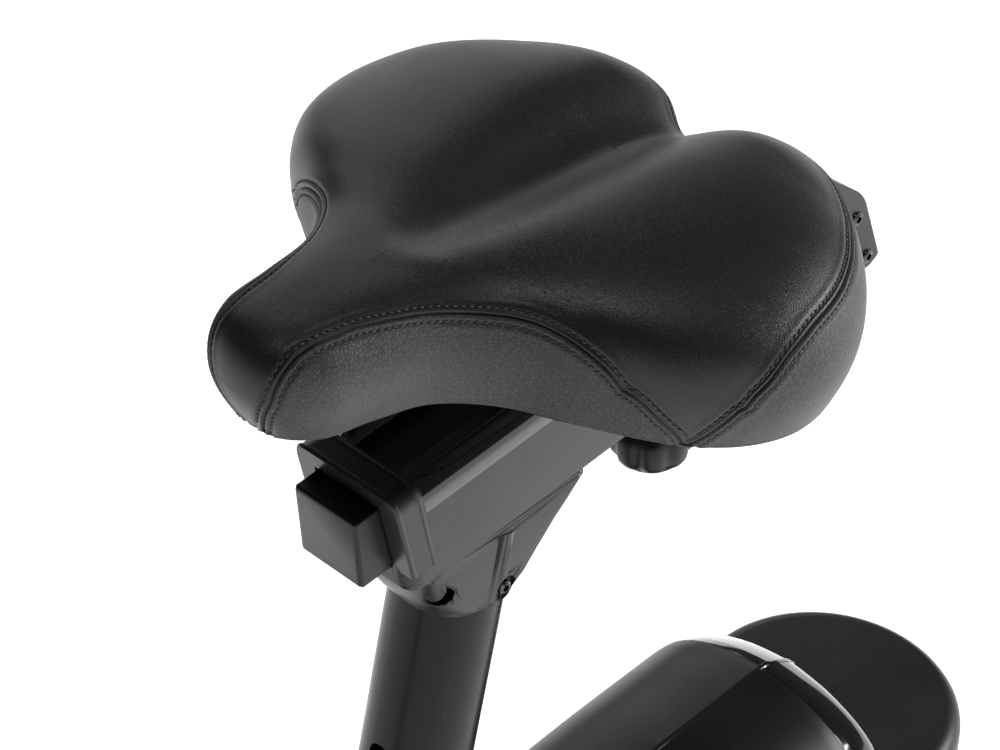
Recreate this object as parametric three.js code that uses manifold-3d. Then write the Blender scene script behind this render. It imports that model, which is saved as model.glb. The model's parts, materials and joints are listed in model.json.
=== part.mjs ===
// Upright exercise bike with a rear flywheel, in millimetres.
// +Z up, the rider faces -Y, the rider's left is +X, and the origin is on the floor at the middle of the
// base.
import * as THREE from 'three';
import { mergeVertices } from 'three/addons/utils/BufferGeometryUtils.js';
import Module from 'manifold-3d';

const wasm = await Module();
wasm.setup();

// ---- driving dimensions -------------------------------------------------------------------------
const GAP = 0.3;                       // clearance kept between pieces that touch
const DEG = Math.PI / 180;

const FRONT_FOOT_Y = -500;             // stabiliser tubes
const REAR_FOOT_Y = 527;
const FOOT_TUBE_R = 30;
const FOOT_TUBE_Z = 45;
const FOOT_TUBE_HALF = 220;
const FOOT_CAP_LENGTH = 42;
const FOOT_CAP_R = 33;
const FOOT_WALL = 2;

const BEAM = { width: 70, height: 40, wall: 2, z: 96 };
const BEAM_TOP = BEAM.z + BEAM.height / 2;

const SEAT_LEAN = 76.5 * DEG;          // seat post against the floor, top towards the rear
const RAIL_TILT = 3.6 * DEG;           // saddle rail, rear end up
const RAIL_FRONT = { y: 40, z: 800 };  // centre of the rail's front face
const POST_Y_AT_RAIL = 82.4;           // post axis behind the rail's front face, at its height
const POST_R = 25;
const POST_WALL = 2;
const POST_TOP = -46;                  // places along the post axis, from the rail's height
const POST_BOTTOM = -430;
const SEAT_TUBE = { r: 30, inner: 27, top: -247 };
const HOLE_PITCH = 25;
const HOLE_COUNT = 9;
const FIRST_HOLE = -152;
const PIN_PLACE = -277;
const PIN_R = 5.5;

const RAIL = { side: 35, wall: 2, capSide: 35.5, capDepth: 20, end: 286 };
const HEAD = { halfWidth: 27, front: 17, rear: 205, top: 25, bottom: -32, slot: 14 };
const KNOB_Y = 192;                    // clamping knob's place along the rail

const CRANK = { y: -50, z: 330, length: 170, inner: 80, thickness: 14, lean: 12 * DEG };
const AXLE_R = 10;
const PULLEY = { r: 100, inner: -32, outer: -44 };
const FLYWHEEL = { y: 245, z: 312, r: 180, rimDepth: 38, rimHalf: 14, webHalf: 5, shaftR: 9, pulleyR: 22 };
const PLATE = { inner: 20, outer: 26 };
const BEARING_R = 17;
const PEDAL = { inner: 104, outer: 198, length: 84, height: 24, spindleR: 6 };

const HOUSING = { halfWidth: 75, wall: 3, trimFront: 333, trimRear: 366 };

const MAST = { r: 30, wall: 2.5, baseY: -430, topY: -372, topZ: 905 };
const STEM = { r: 24, insertion: 70, length: 115 };
const BAR = { r: 12.5, wall: 1.6, halfWidth: 235, y: -364, z: 1034, endY: -272, endZ: 1058, straightY: -402 };
const GRIP = { r: 17, length: 130 };
const CONSOLE = { width: 190, depth: 120, height: 34, y: -372, z: 1112, tilt: -38 * DEG };

// ---- small tools --------------------------------------------------------------------------------
const V = (x, y, z) => new THREE.Vector3(x, y, z);
const bike = new THREE.Group();

function toSolid(geometry) {
  const bare = geometry.clone();
  bare.deleteAttribute('normal');
  bare.deleteAttribute('uv');
  const merged = mergeVertices(bare, 1e-4);
  const index = Array.from(merged.index.array);
  const kept = [];
  for (let i = 0; i < index.length; i += 3) {
    const [a, b, c] = index.slice(i, i + 3);
    if (a !== b && b !== c && a !== c) kept.push(a, b, c);
  }
  const vertProperties = Float32Array.from(merged.attributes.position.array);
  return new wasm.Manifold(new wasm.Mesh({ numProp: 3, vertProperties, triVerts: Uint32Array.from(kept) }));
}

function toGeometry(solid) {
  const mesh = solid.getMesh();
  const geometry = new THREE.BufferGeometry();
  geometry.setAttribute('position', new THREE.BufferAttribute(mesh.vertProperties, 3));
  geometry.setIndex(new THREE.BufferAttribute(mesh.triVerts, 1));
  geometry.computeVertexNormals();
  return geometry;
}

function moved(geometry, { at = [0, 0, 0], turn = [0, 0, 0] }) {
  const frame = new THREE.Matrix4().makeRotationFromEuler(new THREE.Euler(...turn));
  frame.setPosition(...at);
  return geometry.clone().applyMatrix4(frame);
}

function cut(base, ...tools) {
  let solid = toSolid(base);
  for (const tool of tools) solid = solid.subtract(toSolid(tool));
  return toGeometry(solid);
}

function join(...pieces) {
  let solid = toSolid(pieces[0]);
  for (const piece of pieces.slice(1)) solid = solid.add(toSolid(piece));
  return toGeometry(solid);
}

function keep(base, region) {
  return toGeometry(toSolid(base).intersect(toSolid(region)));
}

function box(from, to) {
  const size = to.map((value, i) => value - from[i]);
  return moved(new THREE.BoxGeometry(...size), { at: from.map((value, i) => value + size[i] / 2) });
}

function ringShape(rOut, rIn = 0) {
  const shape = new THREE.Shape();
  shape.absarc(0, 0, rOut, 0, 2 * Math.PI, false);
  if (rIn > 0) {
    const hole = new THREE.Path();
    hole.absarc(0, 0, rIn, 0, 2 * Math.PI, true);
    shape.holes.push(hole);
  }
  return shape;
}

// A round bar or tube from one point to another.
function tube(from, to, rOut, rIn = 0, segments = 10) {
  const along = to.clone().sub(from);
  const options = { depth: along.length(), bevelEnabled: false, curveSegments: segments };
  const geometry = new THREE.ExtrudeGeometry(ringShape(rOut, rIn), options);
  const turn = new THREE.Quaternion().setFromUnitVectors(V(0, 0, 1), along.normalize());
  return geometry.applyMatrix4(new THREE.Matrix4().compose(from, turn, V(1, 1, 1)));
}

// A round bar or tube along X.
function crossTube(y, z, x0, x1, rOut, rIn = 0, segments = 10) {
  return tube(V(x0, y, z), V(x1, y, z), rOut, rIn, segments);
}

// A turned piece: profile pairs are (radius, place along X), closed on themselves or on the axis.
function turned(profile, y, z, segments = 24) {
  const points = profile.map(([r, x]) => new THREE.Vector2(r, x));
  const lathe = new THREE.LatheGeometry(points, segments);
  return moved(lathe, { at: [0, y, z], turn: [0, 0, -Math.PI / 2] });
}

// A flat piece: its outline pairs are (y, z), and it runs from x0 to x1.
function slab(outline, x0, x1, options = {}) {
  const shape = new THREE.Shape(outline.map(([y, z]) => new THREE.Vector2(y, z)));
  const geometry = new THREE.ExtrudeGeometry(shape, { depth: x1 - x0, bevelEnabled: false, ...options });
  const toBike = new THREE.Matrix4().set(0, 0, 1, x0, 1, 0, 0, 0, 0, 1, 0, 0, 0, 0, 0, 1);
  return geometry.applyMatrix4(toBike);
}

function roundedRect(width, height, radius) {
  const shape = new THREE.Shape();
  const [w, h] = [width / 2, height / 2];
  shape.absarc(w - radius, h - radius, radius, 0, Math.PI / 2, false);
  shape.absarc(radius - w, h - radius, radius, Math.PI / 2, Math.PI, false);
  shape.absarc(radius - w, radius - h, radius, Math.PI, 1.5 * Math.PI, false);
  shape.absarc(w - radius, radius - h, radius, 1.5 * Math.PI, 2 * Math.PI, false);
  shape.closePath();
  return shape;
}

// A box with rounded long edges, running along Y from y0 to y1 about (x, z).
function roundedBar(width, height, radius, y0, y1, z = 0, x = 0, wall = 0) {
  const shape = roundedRect(width, height, radius);
  if (wall > 0) {
    const inner = roundedRect(width - 2 * wall, height - 2 * wall, Math.max(radius - wall, 0.5));
    shape.holes.push(new THREE.Path(inner.getPoints(2).reverse()));
  }
  const bar = new THREE.ExtrudeGeometry(shape, { depth: y1 - y0, bevelEnabled: false, curveSegments: 2 });
  return moved(bar, { at: [x, y1, z], turn: [Math.PI / 2, 0, 0] });
}

function add(parent, name, geometry, colour, roughness, metalness) {
  const material = new THREE.MeshStandardMaterial({ color: colour, roughness, metalness });
  const mesh = new THREE.Mesh(geometry, material);
  mesh.name = name;
  parent.add(mesh);
  return mesh;
}

const paint = (parent, name, geometry) => add(parent, name, geometry, 0x141416, 0.35, 0.4);
const steel = (parent, name, geometry) => add(parent, name, geometry, 0xb9bbbe, 0.3, 1);
const plastic = (parent, name, geometry) => add(parent, name, geometry, 0x1d1e20, 0.55, 0);
const gloss = (parent, name, geometry) => add(parent, name, geometry, 0x08080a, 0.12, 0);
const rubber = (parent, name, geometry) => add(parent, name, geometry, 0x161616, 0.85, 0);

const sides = [['left', 1], ['right', -1]];

// ---- base ---------------------------------------------------------------------------------------
function footTube(name, y) {
  const from = V(-FOOT_TUBE_HALF, y, FOOT_TUBE_Z);
  const to = V(FOOT_TUBE_HALF, y, FOOT_TUBE_Z);
  paint(bike, name, tube(from, to, FOOT_TUBE_R, FOOT_TUBE_R - FOOT_WALL));
}

// The end cap's rounded barrel and the flat foot under it.
function footCap(side, y) {
  const start = FOOT_TUBE_HALF + GAP;
  const end = start + FOOT_CAP_LENGTH;
  const profile = [[0, start], [FOOT_CAP_R, start], [FOOT_CAP_R, end - 10], [FOOT_CAP_R - 4, end - 3], [22,
    end], [0, end]];
  const barrel = turned(profile.map(([r, x]) => [r, x * side]), y, FOOT_TUBE_Z, 24);
  const from = Math.min(side * (start + 2), side * (end - 6));
  const foot = box([from, y - 24, 0], [from + FOOT_CAP_LENGTH - 8, y + 24, FOOT_TUBE_Z - 8]);
  return join(fixWinding(barrel, side), foot);
}

// A profile mirrored in X turns inside out, so its triangles are reversed.
function fixWinding(geometry, side) {
  if (side > 0) return geometry;
  const flipped = geometry.clone();
  const index = Array.from(flipped.index.array);
  for (let i = 0; i < index.length; i += 3) [index[i], index[i + 1]] = [index[i + 1], index[i]];
  flipped.setIndex(index);
  return flipped;
}

const WHEEL = { r: 22, width: 16, y: FRONT_FOOT_Y - 38, z: 36, inner: 231, pinR: 4 };

function transportWheel(name, side) {
  const [x0, x1] = [WHEEL.inner * side, (WHEEL.inner + WHEEL.width) * side].sort((a, b) => a - b);
  const tyre = crossTube(WHEEL.y, WHEEL.z, x0, x1, WHEEL.r, WHEEL.pinR + GAP, 14);
  rubber(bike, `transport_wheel_${name}`, tyre);
}

function frontCap(name, side) {
  const ear = [[FRONT_FOOT_Y - 10, 20], [FRONT_FOOT_Y - 10, 60], [WHEEL.y, 46], [WHEEL.y - 9, 36],
    [WHEEL.y, 24]].reverse();
  const [e0, e1] = [222 * side, 230 * side].sort((a, b) => a - b);
  const [p0, p1] = [226 * side, (WHEEL.inner + WHEEL.width + 3) * side].sort((a, b) => a - b);
  const [h0, h1] = [(WHEEL.inner - 4) * side, (WHEEL.inner + WHEEL.width + 3) * side].sort((a, b) => a - b);
  const wheelRoom = crossTube(WHEEL.y, WHEEL.z, h0 + (side > 0 ? 3.5 : 0), h1 - (side > 0 ? 0 : 3.5),
    WHEEL.r + 2);
  const body = cut(footCap(side, FRONT_FOOT_Y), wheelRoom);
  const pin = crossTube(WHEEL.y, WHEEL.z, p0, p1, WHEEL.pinR, 0, 8);
  plastic(bike, `front_end_cap_${name}`, join(body, slab(ear, e0, e1), pin));
}

footTube('front_stabiliser', FRONT_FOOT_Y);
footTube('rear_stabiliser', REAR_FOOT_Y);
for (const [name, side] of sides) {
  frontCap(name, side);
  transportWheel(name, side);
  plastic(bike, `rear_end_cap_${name}`, footCap(side, REAR_FOOT_Y));
}

// The beam rests in a shallow hollow over each stabiliser.
const beamLength = roundedBar(BEAM.width, BEAM.height, 8, FRONT_FOOT_Y - 14, REAR_FOOT_Y + 14, BEAM.z, 0,
  BEAM.wall);
paint(bike, 'base_beam', cut(
  beamLength,
  crossTube(FRONT_FOOT_Y, FOOT_TUBE_Z, -60, 60, FOOT_TUBE_R + 1.5),
  crossTube(REAR_FOOT_Y, FOOT_TUBE_Z, -60, 60, FOOT_TUBE_R + 1.5),
));

// ---- seat post frame: places along the post axis are measured from the rail's height -------------
const POST_AXIS = V(0, Math.cos(SEAT_LEAN), Math.sin(SEAT_LEAN));
const POST_FRONT = V(0, -Math.sin(SEAT_LEAN), Math.cos(SEAT_LEAN));
const POST_ORIGIN = V(0, RAIL_FRONT.y + POST_Y_AT_RAIL, RAIL_FRONT.z);
const onPost = (place) => POST_ORIGIN.clone().addScaledVector(POST_AXIS, place);
const postTube = (low, high, rOut, rIn = 0, segments = 12) => tube(onPost(low), onPost(high), rOut, rIn,
  segments);
const frontBar = (place, from, to, r, segments = 8) => tube(
  onPost(place).addScaledVector(POST_FRONT, from), onPost(place).addScaledVector(POST_FRONT, to), r, 0,
    segments);

const BRAKE = { pivotY: 61, pivotZ: 381, pinR: 4, earInner: 16, earOuter: 19.5 };

function brakeEar(side) {
  const [x0, x1] = [BRAKE.earInner * side, BRAKE.earOuter * side].sort((a, b) => a - b);
  const outline = [[30, BRAKE.pivotZ - 12], [BRAKE.pivotY + 8, BRAKE.pivotZ - 9], [BRAKE.pivotY + 8,
    BRAKE.pivotZ + 9],
    [36, BRAKE.pivotZ + 12]];
  return slab(outline, x0, x1);
}

// The seat tube stands on the beam, with a boss for the height pin and two ears for the brake.
function seatTube() {
  const outer = postTube(-760, SEAT_TUBE.top, SEAT_TUBE.r);
  const boss = frontBar(PIN_PLACE, 20, 46, 13, 10);
  const body = join(outer, boss, brakeEar(1), brakeEar(-1));
  return cut(
    body,
    postTube(-800, SEAT_TUBE.top + 5, SEAT_TUBE.inner),
    box([-60, -200, 0], [60, 200, BEAM_TOP + GAP]),
    frontBar(PIN_PLACE, 10, 60, PIN_R + GAP),
    crossTube(BRAKE.pivotY, BRAKE.pivotZ, -30, 30, BRAKE.pinR + GAP, 0, 8),
  );
}

function seatTubeSleeve() {
  const flange = postTube(SEAT_TUBE.top + GAP, SEAT_TUBE.top + 8, 31.5);
  const lining = postTube(SEAT_TUBE.top - 22, SEAT_TUBE.top + 4, SEAT_TUBE.inner - GAP);
  return cut(join(flange, lining), postTube(SEAT_TUBE.top - 40, SEAT_TUBE.top + 20, POST_R + GAP));
}

paint(bike, 'seat_tube', seatTube());
plastic(bike, 'seat_tube_sleeve', seatTubeSleeve());

// ---- height pin: pulled straight out of the seat tube's boss -------------------------------------
function heightPin() {
  const stem = frontBar(PIN_PLACE, POST_R + 0.5, 62, PIN_R);
  const knob = frontBar(PIN_PLACE, 46 + GAP, 80, 17, 12);
  return join(stem, knob);
}

plastic(bike, 'height_pin', heightPin());

// ---- seat post ----------------------------------------------------------------------------------
function seatPost() {
  const holes = [];
  for (let i = 0; i < HOLE_COUNT; i += 1) holes.push(frontBar(FIRST_HOLE - i * HOLE_PITCH, 10, 40,
    PIN_R + 0.7, 6));
  return cut(postTube(POST_BOTTOM, POST_TOP, POST_R, POST_R - POST_WALL), ...holes);
}

paint(bike, 'seat_post', seatPost());

// The rail group's own frame: Y runs back along the rail from its front face, Z up from its middle.
const RAIL_FRAME = new THREE.Matrix4().makeRotationX(RAIL_TILT).setPosition(0, RAIL_FRONT.y, RAIL_FRONT.z);
const onRail = (geometry) => geometry.clone().applyMatrix4(RAIL_FRAME);

// ---- post head: a sleeve for the rail, open along its top, on a tapered neck ----------------------
function headSleeve() {
  const { halfWidth: w, top, bottom } = HEAD;
  const section = [[-w, bottom], [w, bottom], [w, top - 13], [w - 3, top - 4], [w - 8, top], [8 - w, top],
    [3 - w, top - 4],
    [-w, top - 13]];
  const shape = new THREE.Shape(section.map(([x, z]) => new THREE.Vector2(x, z)));
  const bar = new THREE.ExtrudeGeometry(shape, { depth: HEAD.rear - HEAD.front, bevelEnabled: false });
  return onRail(moved(bar, { at: [0, HEAD.rear, 0], turn: [Math.PI / 2, 0, 0] }));
}

function headNeck() {
  const outline = [[18, -16], [26, -46], [37, -59], [96, -72], [118, -40], [168, -30], [168, -8], [18,
    -8]].reverse();
  const shifted = outline.map(([y, z]) => [y + RAIL_FRONT.y, z + RAIL_FRONT.z]);
  return slab(shifted.reverse(), -HEAD.halfWidth, HEAD.halfWidth);
}

function seatHead() {
  const clear = RAIL.side / 2 + 0.7;
  const body = join(headSleeve(), headNeck(), postTube(-66, -24, 27.5));
  return cut(
    body,
    onRail(box([-clear, -40, -clear], [clear, 300, clear])),
    onRail(box([-HEAD.slot, -40, 0], [HEAD.slot, 300, 60])),
    postTube(-140, POST_TOP + GAP, POST_R + GAP),
    onRail(tube(V(0, KNOB_Y, -60), V(0, KNOB_Y, 0), 5.8, 0, 8)),
  );
}

// A folded clip over the sleeve's front end, with a tab down each side.
function guideClip() {
  const outer = box([-30, 12, -18], [30, 27, 28]);
  const inner = box([-27 - GAP, 0, -40], [27 + GAP, 40, HEAD.top + GAP]);
  return onRail(cut(outer, inner));
}

paint(bike, 'seat_head', seatHead());
paint(bike, 'guide_clip', guideClip());

// ---- fore-and-aft knob under the head ------------------------------------------------------------
function railKnob() {
  const profile = [[0, -88], [13, -87], [17, -84], [19.5, -79], [19.5, -70], [17, -66], [12.5, -64], [12.5,
    -50], [9, -33],
    [5.5, -33], [5.5, -18], [0, -18]];
  const points = profile.map(([r, z]) => new THREE.Vector2(r, z));
  const lathe = moved(new THREE.LatheGeometry(points, 20), { turn: [Math.PI / 2, 0, 0] });
  return onRail(moved(lathe, { at: [0, KNOB_Y, 0] }));
}

plastic(bike, 'rail_knob', railKnob());

// ---- rail, its caps and the saddle's bracket -----------------------------------------------------
function railCap() {
  const { capSide, capDepth, side, wall } = RAIL;
  const face = roundedBar(capSide, capSide, 1.5, 1.5, capDepth);
  const lip = roundedBar(capSide - 3, capSide - 3, 1.5, 0, 3);
  const plug = roundedBar(side - 2 * wall - 0.8, side - 2 * wall - 0.8, 1.5, capDepth - 2, capDepth + 15);
  return onRail(join(face, lip, plug));
}

function railTube() {
  return onRail(roundedBar(RAIL.side, RAIL.side, 2.5, RAIL.capDepth + GAP, RAIL.end, 0, 0, RAIL.wall));
}

// A slanted end fitting over the rail's rear end, with a tongue below it.
function railBoot() {
  const half = RAIL.side / 2;
  const outline = [[277, -20.5], [296, -20.5], [306, -44], [320, -46.5], [328, -43], [316, -5], [312, 1.4],
    [291, 20.5],
    [277, 20.5]];
  const shell = slab(outline, -half - 3.5, half + 3.5);
  return onRail(cut(shell, box([-half - GAP, 270, -half - GAP], [half + GAP, RAIL.end + GAP, half + GAP])));
}

const BRACKET = { front: 112, rear: 162, halfNeck: 12, halfTop: 30, topZ: 55.5 };

function saddleBracket() {
  const low = RAIL.side / 2 + GAP;
  const neck = box([-BRACKET.halfNeck, BRACKET.front, low], [BRACKET.halfNeck, BRACKET.rear,
    BRACKET.topZ - 14]);
  const plate = box([-BRACKET.halfTop, BRACKET.front - 14, BRACKET.topZ - 17], [BRACKET.halfTop,
    BRACKET.rear + 14, BRACKET.topZ - 13]);
  return onRail(join(neck, plate));
}

plastic(bike, 'rail_cap_front', railCap());
paint(bike, 'saddle_rail', railTube());
paint(bike, 'rail_end_boot', railBoot());
paint(bike, 'saddle_bracket', saddleBracket());

// ---- saddle -------------------------------------------------------------------------------------
// Half of the widest outline, from the nose to the middle of the back, as (x, y) from the rail's front face.
const SADDLE_OUTLINE = [[0, -43], [20, -38], [32, -22], [36, 2], [41, 27], [57, 49], [84, 66], [111, 85],
  [130, 109],
  [136, 137], [128, 170], [104, 202], [66, 227], [28, 230], [0, 216]];
const SADDLE_SPINE = [-18, 165];
// Heights by place along the saddle: crown, widest outline and lower edge.
const SADDLE_STATIONS = [-54, -20, 20, 60, 100, 150, 200, 232];
const SADDLE_CROWN = [123, 124, 124, 123, 125, 126, 120, 112];
const SADDLE_EDGE = [100, 100, 98, 88, 78, 73, 76, 86];
const SADDLE_HEM = [80, 78, 73, 64, 55, 49, 49, 56];
const VALLEY_STATIONS = [-54, 0, 40, 80, 120, 160, 214];
const VALLEY_DEPTH = [0, 0, 3, 9, 15, 18, 19];
const VALLEY_WIDTH = [14, 14, 18, 23, 25, 26, 26];
const SADDLE_TUCK = 7;

function between(stations, values, y) {
  const last = stations.length - 1;
  if (y <= stations[0]) return values[0];
  if (y >= stations[last]) return values[last];
  const i = stations.findIndex((station) => station > y) - 1;
  const t = (y - stations[i]) / (stations[i + 1] - stations[i]);
  return values[i] + (values[i + 1] - values[i]) * t * t * (3 - 2 * t);
}

// The whole outline: the half is a smooth curve, and its mirror image closes it.
function saddleOutline(half) {
  const mirrored = [[-20, -38], ...SADDLE_OUTLINE, [-28, 230]].map(([x, y]) => new THREE.Vector3(x, y, 0));
  const curve = new THREE.CatmullRomCurve3(mirrored);
  const steps = mirrored.length - 1;
  const points = [];
  for (let i = 0; i <= half; i += 1) {
    const point = curve.getPoint((1 + (steps - 2) * i / half) / steps);
    points.push([i === 0 || i === half ? 0 : point.x, point.y]);
  }
  const other = points.slice(1, half).reverse().map(([x, y]) => [-x, y]);
  return [...points, ...other];
}

function crownHeight(x, y) {
  const valley = between(VALLEY_STATIONS, VALLEY_DEPTH, y);
  const width = between(VALLEY_STATIONS, VALLEY_WIDTH, y);
  return between(SADDLE_STATIONS, SADDLE_CROWN, y) - valley * Math.exp(-((x / width) ** 2));
}

// One closed ring of the saddle's surface at a share of the way out from the spine.
function crownRing(outline, share) {
  return outline.map(([x, y]) => {
    const spineY = Math.min(Math.max(y, SADDLE_SPINE[0]), SADDLE_SPINE[1]);
    const [px, py] = [x * share, spineY + (y - spineY) * share];
    const edge = between(SADDLE_STATIONS, SADDLE_EDGE, y);
    const rise = (1 - share ** 3.3) ** (1 / 2.3);
    return [px, py, edge + (crownHeight(px, py) - edge) * rise];
  });
}

function insetRing(outline, inset, height) {
  return outline.map(([x, y]) => {
    const spineY = Math.min(Math.max(y, SADDLE_SPINE[0]), SADDLE_SPINE[1]);
    const reach = Math.hypot(x, y - spineY);
    const share = (reach - inset) / reach;
    const py = spineY + (y - spineY) * share;
    return [x * share, py, height(y)];
  });
}

// Rings joined into one closed surface. The first and last rings fold flat onto the spine.
function ringSolid(rings) {
  const count = rings[0].length;
  const positions = rings.flat(2);
  const index = [];
  for (let ring = 0; ring + 1 < rings.length; ring += 1) {
    for (let i = 0; i < count; i += 1) {
      const a = ring * count + i;
      const b = ring * count + (i + 1) % count;
      index.push(a, a + count, b, b, a + count, b + count);
    }
  }
  const geometry = new THREE.BufferGeometry();
  geometry.setAttribute('position', new THREE.Float32BufferAttribute(positions, 3));
  geometry.setIndex(index);
  return toGeometry(toSolid(geometry)).translate(0, RAIL_FRONT.y, RAIL_FRONT.z);
}

const hemHeight = (lift) => (y) => between(SADDLE_STATIONS, SADDLE_HEM, y) + lift;
const edgeHeight = (share) => (y) => {
  const edge = between(SADDLE_STATIONS, SADDLE_EDGE, y);
  return edge + (between(SADDLE_STATIONS, SADDLE_HEM, y) - edge) * share;
};
const SADDLE_HALF_POINTS = 24;
const PAN_INSET = 14.4;
const PAN_TOP = 15;
const PAN_BOTTOM = 7;

function saddlePad() {
  const outline = saddleOutline(SADDLE_HALF_POINTS);
  const rings = [0, 0.3, 0.55, 0.75, 0.88, 0.96].map((share) => crownRing(outline, share));
  rings.push(insetRing(outline, 0, edgeHeight(0)));
  rings.push(insetRing(outline, SADDLE_TUCK * 0.3, edgeHeight(0.5)));
  rings.push(insetRing(outline, SADDLE_TUCK, edgeHeight(1)));
  rings.push(insetRing(outline, PAN_INSET - 1, hemHeight(0)));
  rings.push(insetRing(outline, PAN_INSET - 1, hemHeight(PAN_TOP + GAP)));
  rings.push(outline.map(([, y]) => {
    const spineY = Math.min(Math.max(y, SADDLE_SPINE[0]), SADDLE_SPINE[1]);
    return [0, spineY, hemHeight(PAN_TOP + GAP)(spineY)];
  }));
  return ringSolid(rings);
}

function saddlePan() {
  const outline = saddleOutline(SADDLE_HALF_POINTS);
  const spineRing = (lift) => outline.map(([, y]) => {
    const spineY = Math.min(Math.max(y, SADDLE_SPINE[0]), SADDLE_SPINE[1]);
    return [0, spineY, hemHeight(lift)(spineY)];
  });
  return ringSolid([
    spineRing(PAN_TOP - 0.4),
    insetRing(outline, PAN_INSET, hemHeight(PAN_TOP - 0.4)),
    insetRing(outline, PAN_INSET, hemHeight(PAN_BOTTOM)),
    spineRing(PAN_BOTTOM),
  ]);
}

add(bike, 'saddle_pad', saddlePad(), 0x17181a, 0.5, 0);
plastic(bike, 'saddle_pan', saddlePan());

// ---- bottom bracket, cranks and pedals -----------------------------------------------------------
const BRACKET_SHELL = { r: 24, inner: 17.5, half: 29 };

function bottomBracket() {
  const shell = crossTube(CRANK.y, CRANK.z, -BRACKET_SHELL.half, BRACKET_SHELL.half, BRACKET_SHELL.r);
  const web = box([-14, CRANK.y + 10, CRANK.z - 20], [14, CRANK.y + 60, CRANK.z + 20]);
  return cut(
    join(shell, web),
    crossTube(CRANK.y, CRANK.z, -40, 40, BRACKET_SHELL.inner),
    postTube(-700, -300, SEAT_TUBE.r + GAP),
  );
}

paint(bike, 'bottom_bracket', bottomBracket());

function bearing(name, x0, x1, y, z, rOut, rIn) {
  steel(bike, name, crossTube(y, z, x0, x1, rOut, rIn, 10));
}

for (const [name, side] of sides) {
  const [x0, x1] = [16 * side, 28 * side].sort((a, b) => a - b);
  bearing(`crank_bearing_${name}`, x0, x1, CRANK.y, CRANK.z, BRACKET_SHELL.inner - GAP, AXLE_R + GAP);
}

const AXLE_HALF = CRANK.inner + CRANK.thickness - 3;
steel(bike, 'crank_axle', crossTube(CRANK.y, CRANK.z, -AXLE_HALF, AXLE_HALF, AXLE_R, 0, 10));

// A grooved rim, a thin web and a hub on the crank axle.
function drivePulley() {
  const { r, inner, outer } = PULLEY;
  const bore = AXLE_R + GAP;
  const profile = [[bore, outer], [r, outer], [r, inner], [r - 12, inner], [r - 16, inner - 7], [24,
    inner - 7],
    [20, inner], [bore, inner], [bore, outer]];
  return turned(profile, CRANK.y, CRANK.z, 32);
}

plastic(bike, 'drive_pulley', drivePulley());

const armDirection = (side) => V(0, -Math.cos(CRANK.lean) * side, -Math.sin(CRANK.lean) * side);
const pedalPlace = (side) => V(0, CRANK.y, CRANK.z).addScaledVector(armDirection(side), CRANK.length);

// A tapered forging with a round eye at each end.
function crankArm(side) {
  const along = armDirection(side);
  const across = V(0, -along.z, along.y);
  const [x0, x1] = [CRANK.inner * side, (CRANK.inner + CRANK.thickness) * side].sort((a, b) => a - b);
  const start = V(0, CRANK.y, CRANK.z);
  const end = pedalPlace(side);
  const corner = (base, offset) => base.clone().addScaledVector(across, offset);
  const outline = [corner(start, 14), corner(start, -14), corner(end, -10), corner(end,
    10)].map((p) => [p.y, p.z]);
  if (THREE.ShapeUtils.isClockWise(outline.map(([x, y]) => new THREE.Vector2(x, y)))) outline.reverse();
  const web = slab(outline, x0 + 2, x1 - 2);
  const body = join(crossTube(start.y, start.z, x0, x1, 19), crossTube(end.y, end.z, x0, x1, 13), web);
  return cut(
    body,
    crossTube(start.y, start.z, -AXLE_HALF - GAP, AXLE_HALF + GAP, AXLE_R + GAP, 0, 10),
    crossTube(end.y, end.z, x0 - 5, x1 + 5, PEDAL.spindleR + GAP, 0, 8),
  );
}

function pedalSpindle(side) {
  const place = pedalPlace(side);
  const [x0, x1] = [(CRANK.inner + 2) * side, (PEDAL.outer - 6) * side].sort((a, b) => a - b);
  return crossTube(place.y, place.z, x0, x1, PEDAL.spindleR, 0, 8);
}

// A treaded platform: two bars and end walls round a barrel.
function pedalBody(side) {
  const { y, z } = pedalPlace(side);
  const [x0, x1] = [PEDAL.inner * side, PEDAL.outer * side].sort((a, b) => a - b);
  const half = PEDAL.length / 2;
  const outline = [[-half, -6], [-half + 6, -12], [half - 6, -12], [half, -6], [half, 6], [half - 6, 12],
    [6 - half, 12],
    [-half, 6]].map(([py, pz]) => [py + y, pz + z]);
  return cut(
    slab(outline, x0, x1),
    crossTube(y, z, x0 - 5, x1 - 4 * side * (side > 0 ? 1 : 0), PEDAL.spindleR + GAP + 0.1, 0, 8),
    box([x0 + 12, y + 16, z - 20], [x1 - 12, y + 28, z + 20]),
    box([x0 + 12, y - 28, z - 20], [x1 - 12, y - 16, z + 20]),
  );
}

// The toe strap: a band arched over the platform from side to side.
function pedalStrap(side) {
  const { y, z } = pedalPlace(side);
  const middle = (PEDAL.inner + PEDAL.outer) / 2 * side;
  const half = (PEDAL.outer - PEDAL.inner) / 2;
  const arch = new THREE.Shape();
  arch.absellipse(0, 0, half, 62, 0, Math.PI, false);
  arch.absellipse(0, 0, half - 3, 59, Math.PI, 0, true);
  arch.closePath();
  const band = new THREE.ExtrudeGeometry(arch, { depth: 26, bevelEnabled: false, curveSegments: 8 });
  return moved(band, { at: [middle, y - 2, z + PEDAL.height / 2 + GAP], turn: [Math.PI / 2, 0, 0] });
}

for (const [name, side] of sides) {
  steel(bike, `crank_arm_${name}`, crankArm(side));
  steel(bike, `pedal_spindle_${name}`, pedalSpindle(side));
  plastic(bike, `pedal_${name}`, pedalBody(side));
  rubber(bike, `pedal_strap_${name}`, pedalStrap(side));
}

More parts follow.
